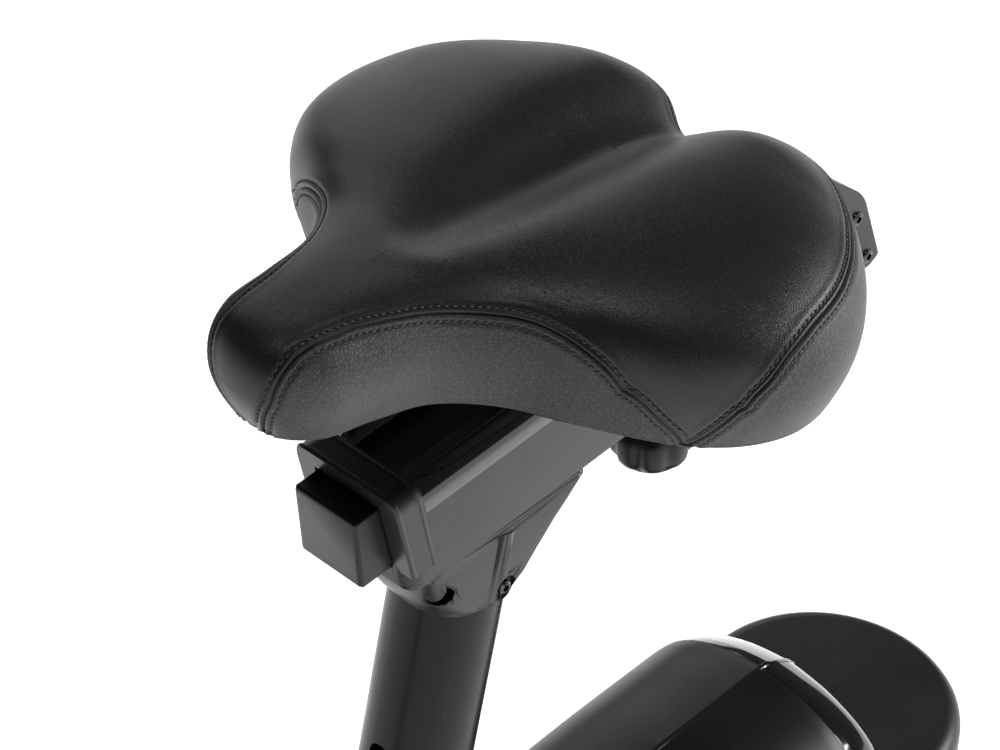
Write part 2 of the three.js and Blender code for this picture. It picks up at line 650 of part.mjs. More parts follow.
// ---- flywheel, its shaft, plates and bearings ----------------------------------------------------
function flywheel() {
  const { r, rimDepth, rimHalf, webHalf, shaftR } = FLYWHEEL;
  const bore = shaftR + GAP;
  const inner = r - rimDepth;
  const profile = [[bore, -16], [30, -16], [34, -webHalf], [inner - 6, -webHalf], [inner, -rimHalf], [r,
    -rimHalf],
    [r, rimHalf], [inner, rimHalf], [inner - 6, webHalf], [34, webHalf], [30, 16], [bore, 16], [bore, -16]];
  return turned(profile, FLYWHEEL.y, FLYWHEEL.z, 36);
}

function flywheelShaft() {
  const { shaftR, pulleyR } = FLYWHEEL;
  const { inner, outer } = PULLEY;
  const profile = [[0, outer - 6], [shaftR, outer - 6], [shaftR, outer], [pulleyR, outer], [pulleyR,
    inner], [shaftR, inner],
    [shaftR, 34], [0, 34]];
  return turned(profile, FLYWHEEL.y, FLYWHEEL.z, 20);
}

function flywheelPlate(side) {
  const [x0, x1] = [PLATE.inner * side, PLATE.outer * side].sort((a, b) => a - b);
  const { y, z } = FLYWHEEL;
  const base = BEAM_TOP + GAP;
  const outline = [[y - 90, base], [y + 90, base], [y + 90, base + 14], [y + 26, z + 10], [y + 16, z + 24],
    [y - 16, z + 24],
    [y - 26, z + 10], [y - 90, base + 14]];
  return cut(
    slab(outline, x0, x1),
    crossTube(y, z, x0 - 5, x1 + 5, BEARING_R + GAP, 0, 12),
    slab([[y - 34, base + 26], [y + 34, base + 26], [y + 14, z - 44], [y - 14, z - 44]], x0 - 5, x1 + 5),
  );
}

steel(bike, 'flywheel', flywheel());
steel(bike, 'flywheel_shaft', flywheelShaft());
for (const [name, side] of sides) {
  paint(bike, `flywheel_plate_${name}`, flywheelPlate(side));
  const [x0, x1] = [(PLATE.inner - 1) * side, (PLATE.outer + 3) * side].sort((a, b) => a - b);
  bearing(`flywheel_bearing_${name}`, x0, x1, FLYWHEEL.y, FLYWHEEL.z, BEARING_R, FLYWHEEL.shaftR + GAP);
}

// ---- belt: two arcs and the straight runs that touch both pulleys ---------------------------------
function beltOutline(extra) {
  const [big, small] = [PULLEY.r + extra, FLYWHEEL.pulleyR + extra];
  const [dy, dz] = [FLYWHEEL.y - CRANK.y, FLYWHEEL.z - CRANK.z];
  const heading = Math.atan2(dz, dy);
  const spread = Math.acos((big - small) / Math.hypot(dy, dz));
  const points = [];
  const arc = (y, z, r, from, to, steps) => {
    for (let i = 0; i <= steps; i += 1) {
      const angle = from + (to - from) * i / steps;
      points.push([y + r * Math.cos(angle), z + r * Math.sin(angle)]);
    }
  };
  arc(FLYWHEEL.y, FLYWHEEL.z, small, heading - spread, heading + spread, 8);
  arc(CRANK.y, CRANK.z, big, heading + spread, heading + 2 * Math.PI - spread, 28);
  return points;
}

function driveBelt() {
  const outer = slab(beltOutline(3), PULLEY.outer + 1, PULLEY.inner - 1);
  return cut(outer, slab(beltOutline(GAP + 0.2), PULLEY.outer - 2, PULLEY.inner + 2));
}

rubber(bike, 'drive_belt', driveBelt());

// ---- magnetic brake: an arc of magnets that swings off the flywheel's rim -------------------------
function brakeCarrier() {
  const { y, z, r } = FLYWHEEL;
  const [near, far] = [r + 5, r + 17];
  const outline = [];
  const steps = 8;
  const [from, to] = [112 * DEG, 158 * DEG];
  for (let i = 0; i <= steps; i += 1) {
    const angle = from + (to - from) * i / steps;
    outline.push([y + far * Math.cos(angle), z + far * Math.sin(angle)]);
  }
  for (let i = steps; i >= 0; i -= 1) {
    const angle = from + (to - from) * i / steps;
    outline.push([y + near * Math.cos(angle), z + near * Math.sin(angle)]);
  }
  const arc = slab(outline, -13, 13);
  const lug = crossTube(BRAKE.pivotY, BRAKE.pivotZ, -13, 13, 6, 0, 8);
  const neck = slab([[57, 381], [65, 378], [71, 387], [60, 393]], -10, 10);
  const pin = crossTube(BRAKE.pivotY, BRAKE.pivotZ, -23, 23, BRAKE.pinR, 0, 8);
  return join(arc, lug, neck, pin);
}

steel(bike, 'brake_carrier', brakeCarrier());

// ---- housing: shells either side of the drive, a glossy trim band and a lower tail ----------------
const FAR = 300;

// The brace's line from the bottom bracket to the mast.
const braceBar = (r, rIn = 0) => tube(V(0, CRANK.y - 6, CRANK.z + 4), V(0, -412, 512), r, rIn);

// Side outline as (y, z): crown over the belt, a step down at the trim, and the tail round the flywheel.
const HOUSING_OUTLINE = [[-184, 330], [-166, 396], [-118, 446], [-40, 478], [40, 496], [120, 510], [190,
  520], [260, 523],
  [333, 523], [346, 517], [358, 509], [363.5, 500], [365.5, 456], [410, 456], [448, 455], [462, 448], [469,
    430],
  [470, 360], [461, 290], [438, 220], [400, 166], [350, 134], [280, 122], [100, 122], [-60, 126], [-120, 156],
  [-162, 220], [-181, 280]];

// Sections across the housing: place along X, then the outline's share there lengthways, above and below
// the middle.
// The top is a round arch from side to side.
const HOUSING_MIDDLE = [160, 320];
const HALF_SECTIONS = [[0, 1, 1, 1], [20, 1, 0.985, 1], [40, 0.995, 0.955, 0.995], [55, 0.99, 0.91, 0.985],
  [66, 0.975, 0.85, 0.97], [73, 0.945, 0.77, 0.945], [75, 0.92, 0.71, 0.92]];
const HOUSING_SECTIONS = [...HALF_SECTIONS.slice(1).reverse().map(([x, ...shares]) => [-x, ...shares]),
  ...HALF_SECTIONS];

// A closed body through equal outlines, with a flat face at each end.
function loft(rings) {
  const count = rings[0].length;
  const index = [];
  for (let ring = 0; ring + 1 < rings.length; ring += 1) {
    for (let i = 0; i < count; i += 1) {
      const a = ring * count + i;
      const b = ring * count + (i + 1) % count;
      index.push(a, b, a + count, b, b + count, a + count);
    }
  }
  const flat = rings[0].map(([, y, z]) => new THREE.Vector2(y, z));
  const last = (rings.length - 1) * count;
  for (const [a, b, c] of THREE.ShapeUtils.triangulateShape(flat, [])) {
    index.push(a, c, b, last + a, last + b, last + c);
  }
  const geometry = new THREE.BufferGeometry();
  geometry.setAttribute('position', new THREE.Float32BufferAttribute(rings.flat(2), 3));
  geometry.setIndex(index);
  return geometry;
}

function housingBody(inset) {
  const [my, mz] = HOUSING_MIDDLE;
  const outline = [...HOUSING_OUTLINE].reverse();
  const narrower = 1 - inset / HOUSING.halfWidth;
  const less = inset / 170;
  const rings = HOUSING_SECTIONS.map(([x, along, above, below]) => outline.map(([y, z]) => {
    const share = z > mz ? above : below;
    return [x * narrower, my + (y - my) * (along - less), mz + (z - mz) * (share - less)];
  }));
  return loft(rings);
}

function housingShell() {
  return cut(
    housingBody(0),
    housingBody(HOUSING.wall),
    box([-46, -150, 100], [46, 420, 150]),
    crossTube(CRANK.y, CRANK.z, -90, 90, 24, 0, 12),
    postTube(-520, -240, SEAT_TUBE.r + 2),
    braceBar(28),
  );
}

// The tail is round when seen from above, with a bevelled flat top.
const TAIL = { start: 392, reach: 74, top: 456, bevel: 10, steps: 16 };
const TAIL_SIDE = [[300, 110], [350, 134], [400, 166], [438, 220], [461, 290], [468, 360], [470, 600],
  [300, 600]];

function tailBody(inset) {
  const half = HOUSING.halfWidth - inset;
  const reach = TAIL.reach - inset;
  const plan = new THREE.Shape();
  plan.moveTo(-half, 300);
  plan.lineTo(half, 300);
  for (let i = 0; i <= TAIL.steps; i += 1) {
    const turn = Math.PI * i / TAIL.steps;
    plan.lineTo(half * Math.cos(turn), TAIL.start + reach * Math.sin(turn));
  }
  const low = 60;
  const options = { depth: TAIL.top - inset - TAIL.bevel - low, bevelEnabled: true, bevelSegments: 2,
    bevelThickness: TAIL.bevel, bevelSize: TAIL.bevel, bevelOffset: -TAIL.bevel };
  const prism = moved(new THREE.ExtrudeGeometry(plan, options), { at: [0, 0, low] });
  const side = TAIL_SIDE.map(([y, z]) => [y - inset, z + inset]);
  return keep(prism, slab(side, -FAR, FAR));
}

function tailShell() {
  return cut(tailBody(0), tailBody(HOUSING.wall), box([-46, 300, 100], [46, 420, 150]));
}

const shell = housingShell();
const tail = tailShell();
const HALF_GAP = GAP / 2;
const halfRegion = (side, y0, y1) => {
  const [x0, x1] = [HALF_GAP * side, FAR * side].sort((a, b) => a - b);
  return box([x0, y0, 0], [x1, y1, 700]);
};
for (const [name, side] of sides) {
  plastic(bike, `housing_${name}`, keep(shell, halfRegion(side, -FAR, HOUSING.trimFront - GAP)));
  plastic(bike, `tail_cover_${name}`, keep(tail, halfRegion(side, HOUSING.trimRear + GAP, 600)));
}
gloss(bike, 'housing_trim', keep(shell, box([-FAR, HOUSING.trimFront, 0], [FAR, HOUSING.trimRear, 700])));

// ---- front mast, brace, handlebar and console -----------------------------------------------------
const MAST_BASE = V(0, MAST.baseY, BEAM_TOP - 40);
const MAST_TOP = V(0, MAST.topY, MAST.topZ);
const MAST_AXIS = MAST_TOP.clone().sub(MAST_BASE).normalize();

function frontMast() {
  const outer = tube(MAST_BASE, MAST_TOP, MAST.r, MAST.r - MAST.wall);
  const socket = tube(V(0, -378, 818), V(0, -330, 818), 9, 0, 8);
  return cut(outer, box([-60, -600, 0], [60, -300, BEAM_TOP + GAP]), socket);
}

function braceTube() {
  const mastRoom = tube(MAST_BASE, MAST_TOP, MAST.r + GAP);
  const hub = crossTube(CRANK.y, CRANK.z, -40, 40, BRACKET_SHELL.r + GAP);
  const whole = cut(braceBar(25, 22.5), mastRoom, hub);
  return keep(whole, box([-60, -398, 0], [60, CRANK.y - 10, 700]));
}

paint(bike, 'front_mast', frontMast());
paint(bike, 'brace_tube', braceTube());

const STEM_TOP = MAST_TOP.clone().addScaledVector(MAST_AXIS, STEM.length);
function handlebarStem() {
  const along = (place) => MAST_TOP.clone().addScaledVector(MAST_AXIS, place);
  const body = tube(along(-STEM.insertion), STEM_TOP, STEM.r);
  const collar = tube(along(GAP), along(18), 29);
  const clamp = crossTube(BAR.y, BAR.z, -22, 22, 20);
  const bore = tube(along(-STEM.insertion - 5), along(60), STEM.r - 2.5, 0, 8);
  return cut(join(body, collar, clamp), crossTube(BAR.y, BAR.z, -60, 60, BAR.r + GAP), bore);
}

paint(bike, 'handlebar_stem', handlebarStem());

// The bar's line: straight across, forward and round a bend at each side, and back to the rider.
function barCurve() {
  const half = BAR.halfWidth;
  const side = (s) => [
    V(s * half, BAR.endY, BAR.endZ), V(s * half, BAR.straightY, BAR.z + 8),
    V(s * half, BAR.straightY - 40, BAR.z + 5), V(s * 200, BAR.y - 74, BAR.z + 1), V(s * 148, BAR.y - 50,
      BAR.z),
    V(s * 112, BAR.y - 33, BAR.z), V(s * 94, BAR.y, BAR.z), V(s * 62, BAR.y, BAR.z)];
  const left = side(1);
  const right = side(-1).reverse();
  const path = new THREE.CurvePath();
  path.add(new THREE.LineCurve3(left[0], left[1]));
  path.add(new THREE.CubicBezierCurve3(...left.slice(1, 5)));
  path.add(new THREE.CubicBezierCurve3(...left.slice(4, 8)));
  path.add(new THREE.LineCurve3(left[7], right[0]));
  path.add(new THREE.CubicBezierCurve3(...right.slice(0, 4)));
  path.add(new THREE.CubicBezierCurve3(...right.slice(3, 7)));
  path.add(new THREE.LineCurve3(right[6], right[7]));
  return path;
}

function handlebar() {
  const options = { steps: 44, curveSegments: 4, bevelEnabled: false, extrudePath: barCurve() };
  return new THREE.ExtrudeGeometry(ringShape(BAR.r, BAR.r - BAR.wall), options);
}

paint(bike, 'handlebar', handlebar());

function grip(side) {
  const end = V(side * BAR.halfWidth, BAR.endY, BAR.endZ);
  const bend = V(side * BAR.halfWidth, BAR.straightY, BAR.z + 8);
  const along = bend.sub(end).normalize();
  return tube(end.clone().addScaledVector(along, 2), end.clone().addScaledVector(along, GRIP.length),
    GRIP.r, BAR.r + 0.7, 10);
}

for (const [name, side] of sides) rubber(bike, `grip_${name}`, grip(side));

// The console's own frame: its face looks up and back at the rider, and its Y runs down the face.
const CONSOLE_FRAME = new THREE.Matrix4().makeRotationX(CONSOLE.tilt).setPosition(0, CONSOLE.y, CONSOLE.z);
const onConsole = (geometry) => geometry.clone().applyMatrix4(CONSOLE_FRAME);

const plunger = (r, z0, z1) => onConsole(tube(V(0, BUTTON_Y, z0), V(0, BUTTON_Y, z1), r, 0, 10));

const SCREEN = { half: 62, low: -44, high: 10 };
const BUTTON_Y = 34;

function consoleBody() {
  const { width, depth, height } = CONSOLE;
  const shape = roundedRect(width, depth, 22);
  const options = { depth: height - 8, bevelEnabled: true, bevelSize: 4, bevelOffset: -4,
    bevelThickness: 4, bevelSegments: 1,
    curveSegments: 4 };
  const body = moved(new THREE.ExtrudeGeometry(shape, options), { at: [0, 0, 4 - height] });
  const screen = box([-SCREEN.half, SCREEN.low, -6], [SCREEN.half, SCREEN.high, 10]);
  const neck = box([-16, BAR.y - 13, BAR.z + 8], [16, BAR.y + 13, 1074]);
  const clampRoom = crossTube(BAR.y, BAR.z, -120, 120, 21.5);
  return cut(join(onConsole(cut(body, screen)), neck), clampRoom, plunger(13, -12, 10));
}

gloss(bike, 'console', consoleBody());

function consoleWindow() {
  const { half, low, high } = SCREEN;
  return onConsole(box([GAP - half, low + GAP, GAP - 6], [half - GAP, high - GAP, -1]));
}

add(bike, 'console_window', consoleWindow(), 0x30363a, 0.08, 0);
plastic(bike, 'mode_button', plunger(12.4, -8.5, 2.5));

// The resistance knob on the rider's side of the mast.
function resistanceKnob() {
  const mastY = MAST.baseY + (MAST.topY - MAST.baseY) * (818 - MAST_BASE.z) / (MAST.topZ - MAST_BASE.z);
  const from = mastY + MAST.r + 3;
  const cap = tube(V(0, from + 4, 818), V(0, from + 32, 818), 24, 0, 12);
  const skirt = tube(V(0, from, 818), V(0, from + 8, 818), 19, 0, 12);
  const stem = tube(V(0, from - 14, 818), V(0, from + 10, 818), 8.5, 0, 8);
  return join(cap, skirt, stem);
}

plastic(bike, 'resistance_knob', resistanceKnob());

export default bike;
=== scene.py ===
"""Upright exercise bike: the finished surfaces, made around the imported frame.

Lengths are in millimetres until a mesh is made, and MM turns them into metres.
"""
import json
import math

import bmesh
import bpy
import numpy as np
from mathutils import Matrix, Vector
from mathutils.bvhtree import BVHTree
from mathutils.kdtree import KDTree

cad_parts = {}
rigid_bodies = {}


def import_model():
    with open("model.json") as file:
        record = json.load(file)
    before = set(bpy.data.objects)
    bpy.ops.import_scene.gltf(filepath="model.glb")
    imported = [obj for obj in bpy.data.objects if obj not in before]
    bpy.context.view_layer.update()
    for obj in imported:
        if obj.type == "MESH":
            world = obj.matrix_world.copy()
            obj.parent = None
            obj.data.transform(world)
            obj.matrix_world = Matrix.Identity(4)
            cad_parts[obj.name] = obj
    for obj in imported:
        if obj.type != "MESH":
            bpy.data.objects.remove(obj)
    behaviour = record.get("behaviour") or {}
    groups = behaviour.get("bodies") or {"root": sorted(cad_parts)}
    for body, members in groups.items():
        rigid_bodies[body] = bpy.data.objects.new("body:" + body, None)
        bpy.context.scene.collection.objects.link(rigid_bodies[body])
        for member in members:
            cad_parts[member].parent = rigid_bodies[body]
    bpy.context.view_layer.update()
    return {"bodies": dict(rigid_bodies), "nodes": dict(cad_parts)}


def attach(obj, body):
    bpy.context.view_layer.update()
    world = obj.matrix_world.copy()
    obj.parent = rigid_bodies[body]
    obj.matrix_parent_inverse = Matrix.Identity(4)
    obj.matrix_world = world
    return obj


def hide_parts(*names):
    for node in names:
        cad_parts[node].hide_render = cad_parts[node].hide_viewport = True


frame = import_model()
MM = 0.001
DEG = math.pi / 180
scene = bpy.context.scene

# ---- places shared with the frame ----------------------------------------------------------------
RAIL_TILT = 3.6 * DEG
RAIL_FRONT = Vector((0, 40, 800))
POST_LEAN = 76.5 * DEG
POST_AXIS = Vector((0, math.cos(POST_LEAN), math.sin(POST_LEAN)))
POST_FRONT = Vector((0, -math.sin(POST_LEAN), math.cos(POST_LEAN)))
POST_ORIGIN = Vector((0, 122.4, 800))
SIDES = (("left", 1), ("right", -1))
KNOB_Y = 192                           # the clamping knob's place along the rail
RAIL_HALF, RAIL_END = 17.5, 286        # the square rail's half side, and where it stops
POST_R = 25
HEAD_HALF = 27                         # half the width of the post's head
CRANK_PLACE = Vector((0, -50, 330))
X_AXIS = Vector((1, 0, 0))


def on_rail(x, y, z):
    """A place in the rail's own frame: y back along the rail, z up from its middle."""
    c, s = math.cos(RAIL_TILT), math.sin(RAIL_TILT)
    return RAIL_FRONT + Vector((x, y * c - z * s, y * s + z * c))


def on_post(along, front=0.0, x=0.0):
    return POST_ORIGIN + POST_AXIS * along + POST_FRONT * front + X_AXIS * x


RAIL_UP = on_rail(0, 0, 1) - RAIL_FRONT
AXIS_GAP = 0.02                        # the least radius of a turned end, so that its ring stays a ring


# ---- mesh making ---------------------------------------------------------------------------------
def skin(rings, ends=True, joined=False):
    """Quads between equal rings. ends closes both end rings, and joined runs the last one to the first."""
    count = len(rings[0])
    points = [Vector(p) for ring in rings for p in ring]
    pairs = [(k, k + 1) for k in range(len(rings) - 1)] + ([(len(rings) - 1, 0)] if joined else [])
    faces = []
    for k, m in pairs:
        for i in range(count):
            j = (i + 1) % count
            faces.append((k * count + i, k * count + j, m * count + j, m * count + i))
    if ends and not joined:
        faces.append(tuple(range(count - 1, -1, -1)))
        faces.append(tuple(range((len(rings) - 1) * count, len(rings) * count)))
    return points, faces


def eased(points, radius, steps=4, closed=True):
    """The polyline with each corner rounded, by at most half of its shorter side."""
    points = [Vector(p).to_2d() for p in points]
    out, count = [], len(points)
    for i, p in enumerate(points):
        if not closed and i in (0, count - 1):
            out.append(p)
            continue
        before, after = points[i - 1], points[(i + 1) % count]
        reach = min(radius, (before - p).length * 0.48, (after - p).length * 0.48)
        a, b = p + (before - p).normalized() * reach, p + (after - p).normalized() * reach
        for k in range(steps + 1):
            t = k / steps
            out.append(a * (1 - t) ** 2 + p * 2 * t * (1 - t) + b * t * t)
    return out


def turned(profile, base, axis, steps=64, ribs=0, depth=0.0, reach=0.0):
    """A lathe-turned piece. Profile pairs are (radius, place along the axis), and the same first and last
    pair makes a ring. Hollows between ribs are pressed in wherever the radius is at least reach."""
    joined = profile[0] == profile[-1]
    axis = Vector(axis).normalized()
    side = axis.orthogonal().normalized()
    other = axis.cross(side)
    rings = []
    for radius, along in profile[:-1] if joined else profile:
        ring = []
        for k in range(steps):
            turn = 2 * math.pi * k / steps
            hollow = depth * (0.5 - 0.5 * math.cos(ribs * turn)) ** 2 if ribs and radius >= reach else 0.0
            outward = (side * math.cos(turn) + other * math.sin(turn)) * max(radius - hollow, AXIS_GAP)
            ring.append(Vector(base) + axis * along + outward)
        rings.append(ring)
    return skin(rings, not joined, joined)


def plug(radius, low, high, base, axis, steps=64):
    """A plain round bar, as a cutter for a round hole."""
    return turned([(0, low), (radius, low), (radius, high), (0, high)], base, axis, steps)


def pipe(r_out, r_in, low, high):
    """The profile of a tube with open ends."""
    return [(r_in, low), (r_out, low), (r_out, high), (r_in, high), (r_in, low)]


def slab(outline, x0, x1):
    """A flat piece whose outline pairs are (y, z)."""
    return skin([[(x, p[0], p[1]) for p in outline] for x in (x0, x1)])


def block(low, high, place=lambda x, y, z: Vector((x, y, z))):
    (x0, y0, z0), (x1, y1, z1) = low, high
    rings = [[place(x0, y, z0), place(x1, y, z0), place(x1, y, z1), place(x0, y, z1)] for y in (y0, y1)]
    return skin(rings)


def rounded(width, height, radius, steps=6):
    w, h = width / 2, height / 2
    return eased([(-w, -h), (w, -h), (w, h), (-w, h)], radius, steps)


def rail_bar(section, y0, y1, inner=None):
    """A bar along the rail, or a tube where an inner section is given."""
    rings = [[on_rail(p[0], y, p[1]) for p in section] for y in (y0, y1)]
    if inner is None:
        return skin(rings)
    rings += [[on_rail(p[0], y, p[1]) for p in inner] for y in (y1, y0)]
    return skin(rings, joined=True)


def placed(name, data):
    """A new object in the scene."""
    obj = bpy.data.objects.new(name, data)
    scene.collection.objects.link(obj)
    return obj


def welded(mesh, gap, flat=0.0):
    """Joins points closer than gap. Then faces that lie in one plane, within flat, are joined, or without
    flat all faces are turned outwards."""
    build = bmesh.new()
    build.from_mesh(mesh)
    bmesh.ops.remove_doubles(build, verts=build.verts, dist=gap)
    if flat:
        bmesh.ops.dissolve_limit(build, angle_limit=flat, verts=build.verts, edges=build.edges)
    else:
        bmesh.ops.recalc_face_normals(build, faces=build.faces)
    build.to_mesh(mesh)
    build.free()
    return mesh


def mesh_object(name, data):
    points, faces = data
    mesh = bpy.data.meshes.new(name)
    mesh.from_pydata([tuple(c * MM for c in p) for p in points], [],
                     [tuple(int(i) for i in f) for f in faces])
    return placed(name, welded(mesh, 1e-6))


def settle(obj):
    """Applies the piece's modifiers to its mesh."""
    bpy.context.view_layer.update()
    evaluated = obj.evaluated_get(bpy.context.evaluated_depsgraph_get())
    mesh = bpy.data.meshes.new_from_object(evaluated)
    obj.modifiers.clear()
    old, obj.data = obj.data, mesh
    bpy.data.meshes.remove(old)
    return obj


def combine(obj, others, operation="DIFFERENCE"):
    """Cuts other solids out of the piece, or joins them to it, and removes them."""
    for k, data in enumerate(others):
        cutter = data if isinstance(data, bpy.types.Object) else mesh_object(f"{obj.name}_cutter_{k}", data)
        cut = obj.modifiers.new("cut", "BOOLEAN")
        cut.object, cut.operation, cut.solver = cutter, operation, "EXACT"
        settle(obj)
        bpy.data.objects.remove(cutter)
    return obj


def finish(obj, material, body, nodes=(), bevel=0.0, angle=35, segments=3):
    """Smooth shading, small edge rounds, the finish, and what the piece rides on and stands for."""
    obj.data.materials.clear()
    for m in material if isinstance(material, (list, tuple)) else [material]:
        obj.data.materials.append(m)
    for face in obj.data.polygons:
        face.use_smooth = True
    if bevel:
        edges = obj.modifiers.new("edge_round", "BEVEL")
        edges.width, edges.segments, edges.limit_method = bevel * MM, segments, "ANGLE"
        edges.angle_limit = angle * DEG
        edges.use_clamp_overlap = True
        even = obj.modifiers.new("even_shading", "WEIGHTED_NORMAL")
        even.keep_sharp = True
    else:
        obj.data.set_sharp_from_angle(angle=angle * DEG)
    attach(obj, body)
    if nodes:
        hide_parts(*nodes)
    return obj


def make(name, data, material, body, nodes=(), bevel=0.0, angle=35, segments=3):
    return finish(mesh_object(name, data), material, body, nodes, bevel, angle, segments)


# ---- shader effects, each a group built once ------------------------------------------------------
def new_group(name, inputs, outputs):
    group = bpy.data.node_groups.new(name, "ShaderNodeTree")
    for label, value in inputs:
        socket = group.interface.new_socket(label, in_out="INPUT", socket_type="NodeSocketFloat")
        socket.default_value = value
    for label in outputs:
        group.interface.new_socket(label, in_out="OUTPUT", socket_type="NodeSocketFloat")
    return group, group.nodes.new("NodeGroupInput"), group.nodes.new("NodeGroupOutput")


def add_node(tree, kind, links=(), **settings):
    """A shader node. links pairs an input with a socket or a plain value."""
    node = tree.nodes.new("ShaderNode" + kind)
    for key, value in settings.items():
        setattr(node, key, value)
    for key, value in links:
        if isinstance(value, bpy.types.NodeSocket):
            tree.links.new(value, node.inputs[key])
        else:
            node.inputs[key].default_value = value
    return node


def set_inputs(node, **values):
    for key, value in values.items():
        node.inputs[key.replace("_", " ")].default_value = value


def object_place(tree):
    return add_node(tree, "TexCoord").outputs["Object"]


def ranged(tree, value, low=0.0, high=1.0, to_low=0.0, to_high=1.0):
    """The value carried from one range to another."""
    links = [("Value", value), ("From Min", low), ("From Max", high), ("To Min", to_low), ("To Max", to_high)]
    return add_node(tree, "MapRange", links).outputs[0]


def maths(tree, operation, *values):
    return add_node(tree, "Math", list(enumerate(values)), operation=operation).outputs[0]


def noise(tree, place, scale, detail, rough=0.5):
    return add_node(tree, "TexNoise", [("Vector", place), ("Scale", scale), ("Detail", detail),
                                       ("Roughness", rough)]).outputs


def leather_grain():
    """Fine pebbles with creases between them, and a slower unevenness."""
    group, given, out = new_group("leather_grain", [("Scale", 900.0), ("Unevenness", 0.3)],
                                  ["Height", "Speckle"])
    place = object_place(group)
    bend = noise(group, place, 160.0, 3.0)["Color"]
    moved = add_node(group, "VectorMath", [(0, bend), (1, (0.0016, 0.0016, 0.0016))],
                     operation="MULTIPLY")
    bent = add_node(group, "VectorMath", [(0, place), (1, moved.outputs[0])], operation="ADD").outputs[0]
    cells, creases = (add_node(group, "TexVoronoi", [("Vector", bent), ("Scale", given.outputs["Scale"])],
                               feature=feature).outputs["Distance"]
                      for feature in ("SMOOTH_F1", "DISTANCE_TO_EDGE"))
    ridge = ranged(group, creases, 0.0, 0.22)
    pebble = maths(group, "MULTIPLY", ridge, maths(group, "SUBTRACT", 1.0, cells))
    slow = noise(group, place, 75.0, 4.0)["Fac"]
    height = maths(group, "MULTIPLY_ADD", slow, given.outputs["Unevenness"], pebble)
    group.links.new(height, out.inputs["Height"])
    group.links.new(pebble, out.inputs["Speckle"])
    return group


def moulded_texture():
    """The fine spark-eroded texture of a moulding, or the orange peel of a paint at a lower scale."""
    group, given, out = new_group("moulded_texture", [("Scale", 1500.0), ("Roughen", 0.6)],
                                  ["Height", "Mottle"])
    place = object_place(group)
    fine = noise(group, place, given.outputs["Scale"], 2.0, given.outputs["Roughen"])["Fac"]
    group.links.new(fine, out.inputs["Height"])
    group.links.new(noise(group, place, 18.0, 5.0)["Fac"], out.inputs["Mottle"])
    return group


def edge_wear():
    """Where an outside edge has been rubbed, broken up by noise."""
    group, given, out = new_group("edge_wear", [("Amount", 0.5), ("Patch Scale", 60.0)], ["Mask"])
    edge = add_node(group, "NewGeometry").outputs["Pointiness"]
    sharp = ranged(group, edge, 0.53, 0.62)
    patches = noise(group, object_place(group), given.outputs["Patch Scale"], 6.0)["Fac"]
    both = maths(group, "MULTIPLY", sharp, ranged(group, patches, 0.42, 0.68))
    group.links.new(maths(group, "MULTIPLY", both, given.outputs["Amount"]), out.inputs["Mask"])
    return group


def settled_dust():
    """A thin film on faces that look up."""
    group, given, out = new_group("settled_dust", [("Amount", 0.1)], ["Mask"])
    normal = add_node(group, "NewGeometry").outputs["Normal"]
    up = add_node(group, "SeparateXYZ", [(0, normal)]).outputs["Z"]
    film = noise(group, object_place(group), 35.0, 8.0, 0.7)["Fac"]
    both = maths(group, "MULTIPLY", ranged(group, up, 0.35, 1.0), ranged(group, film, 0.4, 0.75))
    group.links.new(maths(group, "MULTIPLY", both, given.outputs["Amount"]), out.inputs["Mask"])
    return group


def turning_marks():
    """Fine rings left by a lathe tool across a piece that lies along X."""
    group, given, out = new_group("turning_marks", [("Scale", 900.0)], ["Height", "Streak"])
    place = object_place(group)
    squeezed = add_node(group, "VectorMath", [(0, place), (1, (1.0, 0.03, 0.03))], operation="MULTIPLY")
    rings = noise(group, squeezed.outputs[0], given.outputs["Scale"], 3.0)["Fac"]
    for label in ("Height", "Streak"):
        group.links.new(rings, out.inputs[label])
    return group


GROUPS = {build.__name__: build() for build in
          (leather_grain, moulded_texture, edge_wear, settled_dust, turning_marks)}


def use(tree, group, **values):
    node = tree.nodes.new("ShaderNodeGroup")
    node.node_tree = GROUPS[group]
    set_inputs(node, **values)
    return node


def mix_colour(tree, factor, a, b):
    node = add_node(tree, "Mix", data_type="RGBA")
    for socket, value in ((node.inputs[0], factor), (node.inputs[6], a), (node.inputs[7], b)):
        if isinstance(value, bpy.types.NodeSocket):
            tree.links.new(value, socket)
        else:
            socket.default_value = value
    return node.outputs[2]


def grey(value, blue=1.0):
    return (value, value * (1 + (blue - 1) * 0.4), value * blue, 1.0)


def new_material(name):
    material = bpy.data.materials.new(name)
    material.use_nodes = True
    tree = material.node_tree
    return material, tree, tree.nodes["Principled BSDF"]


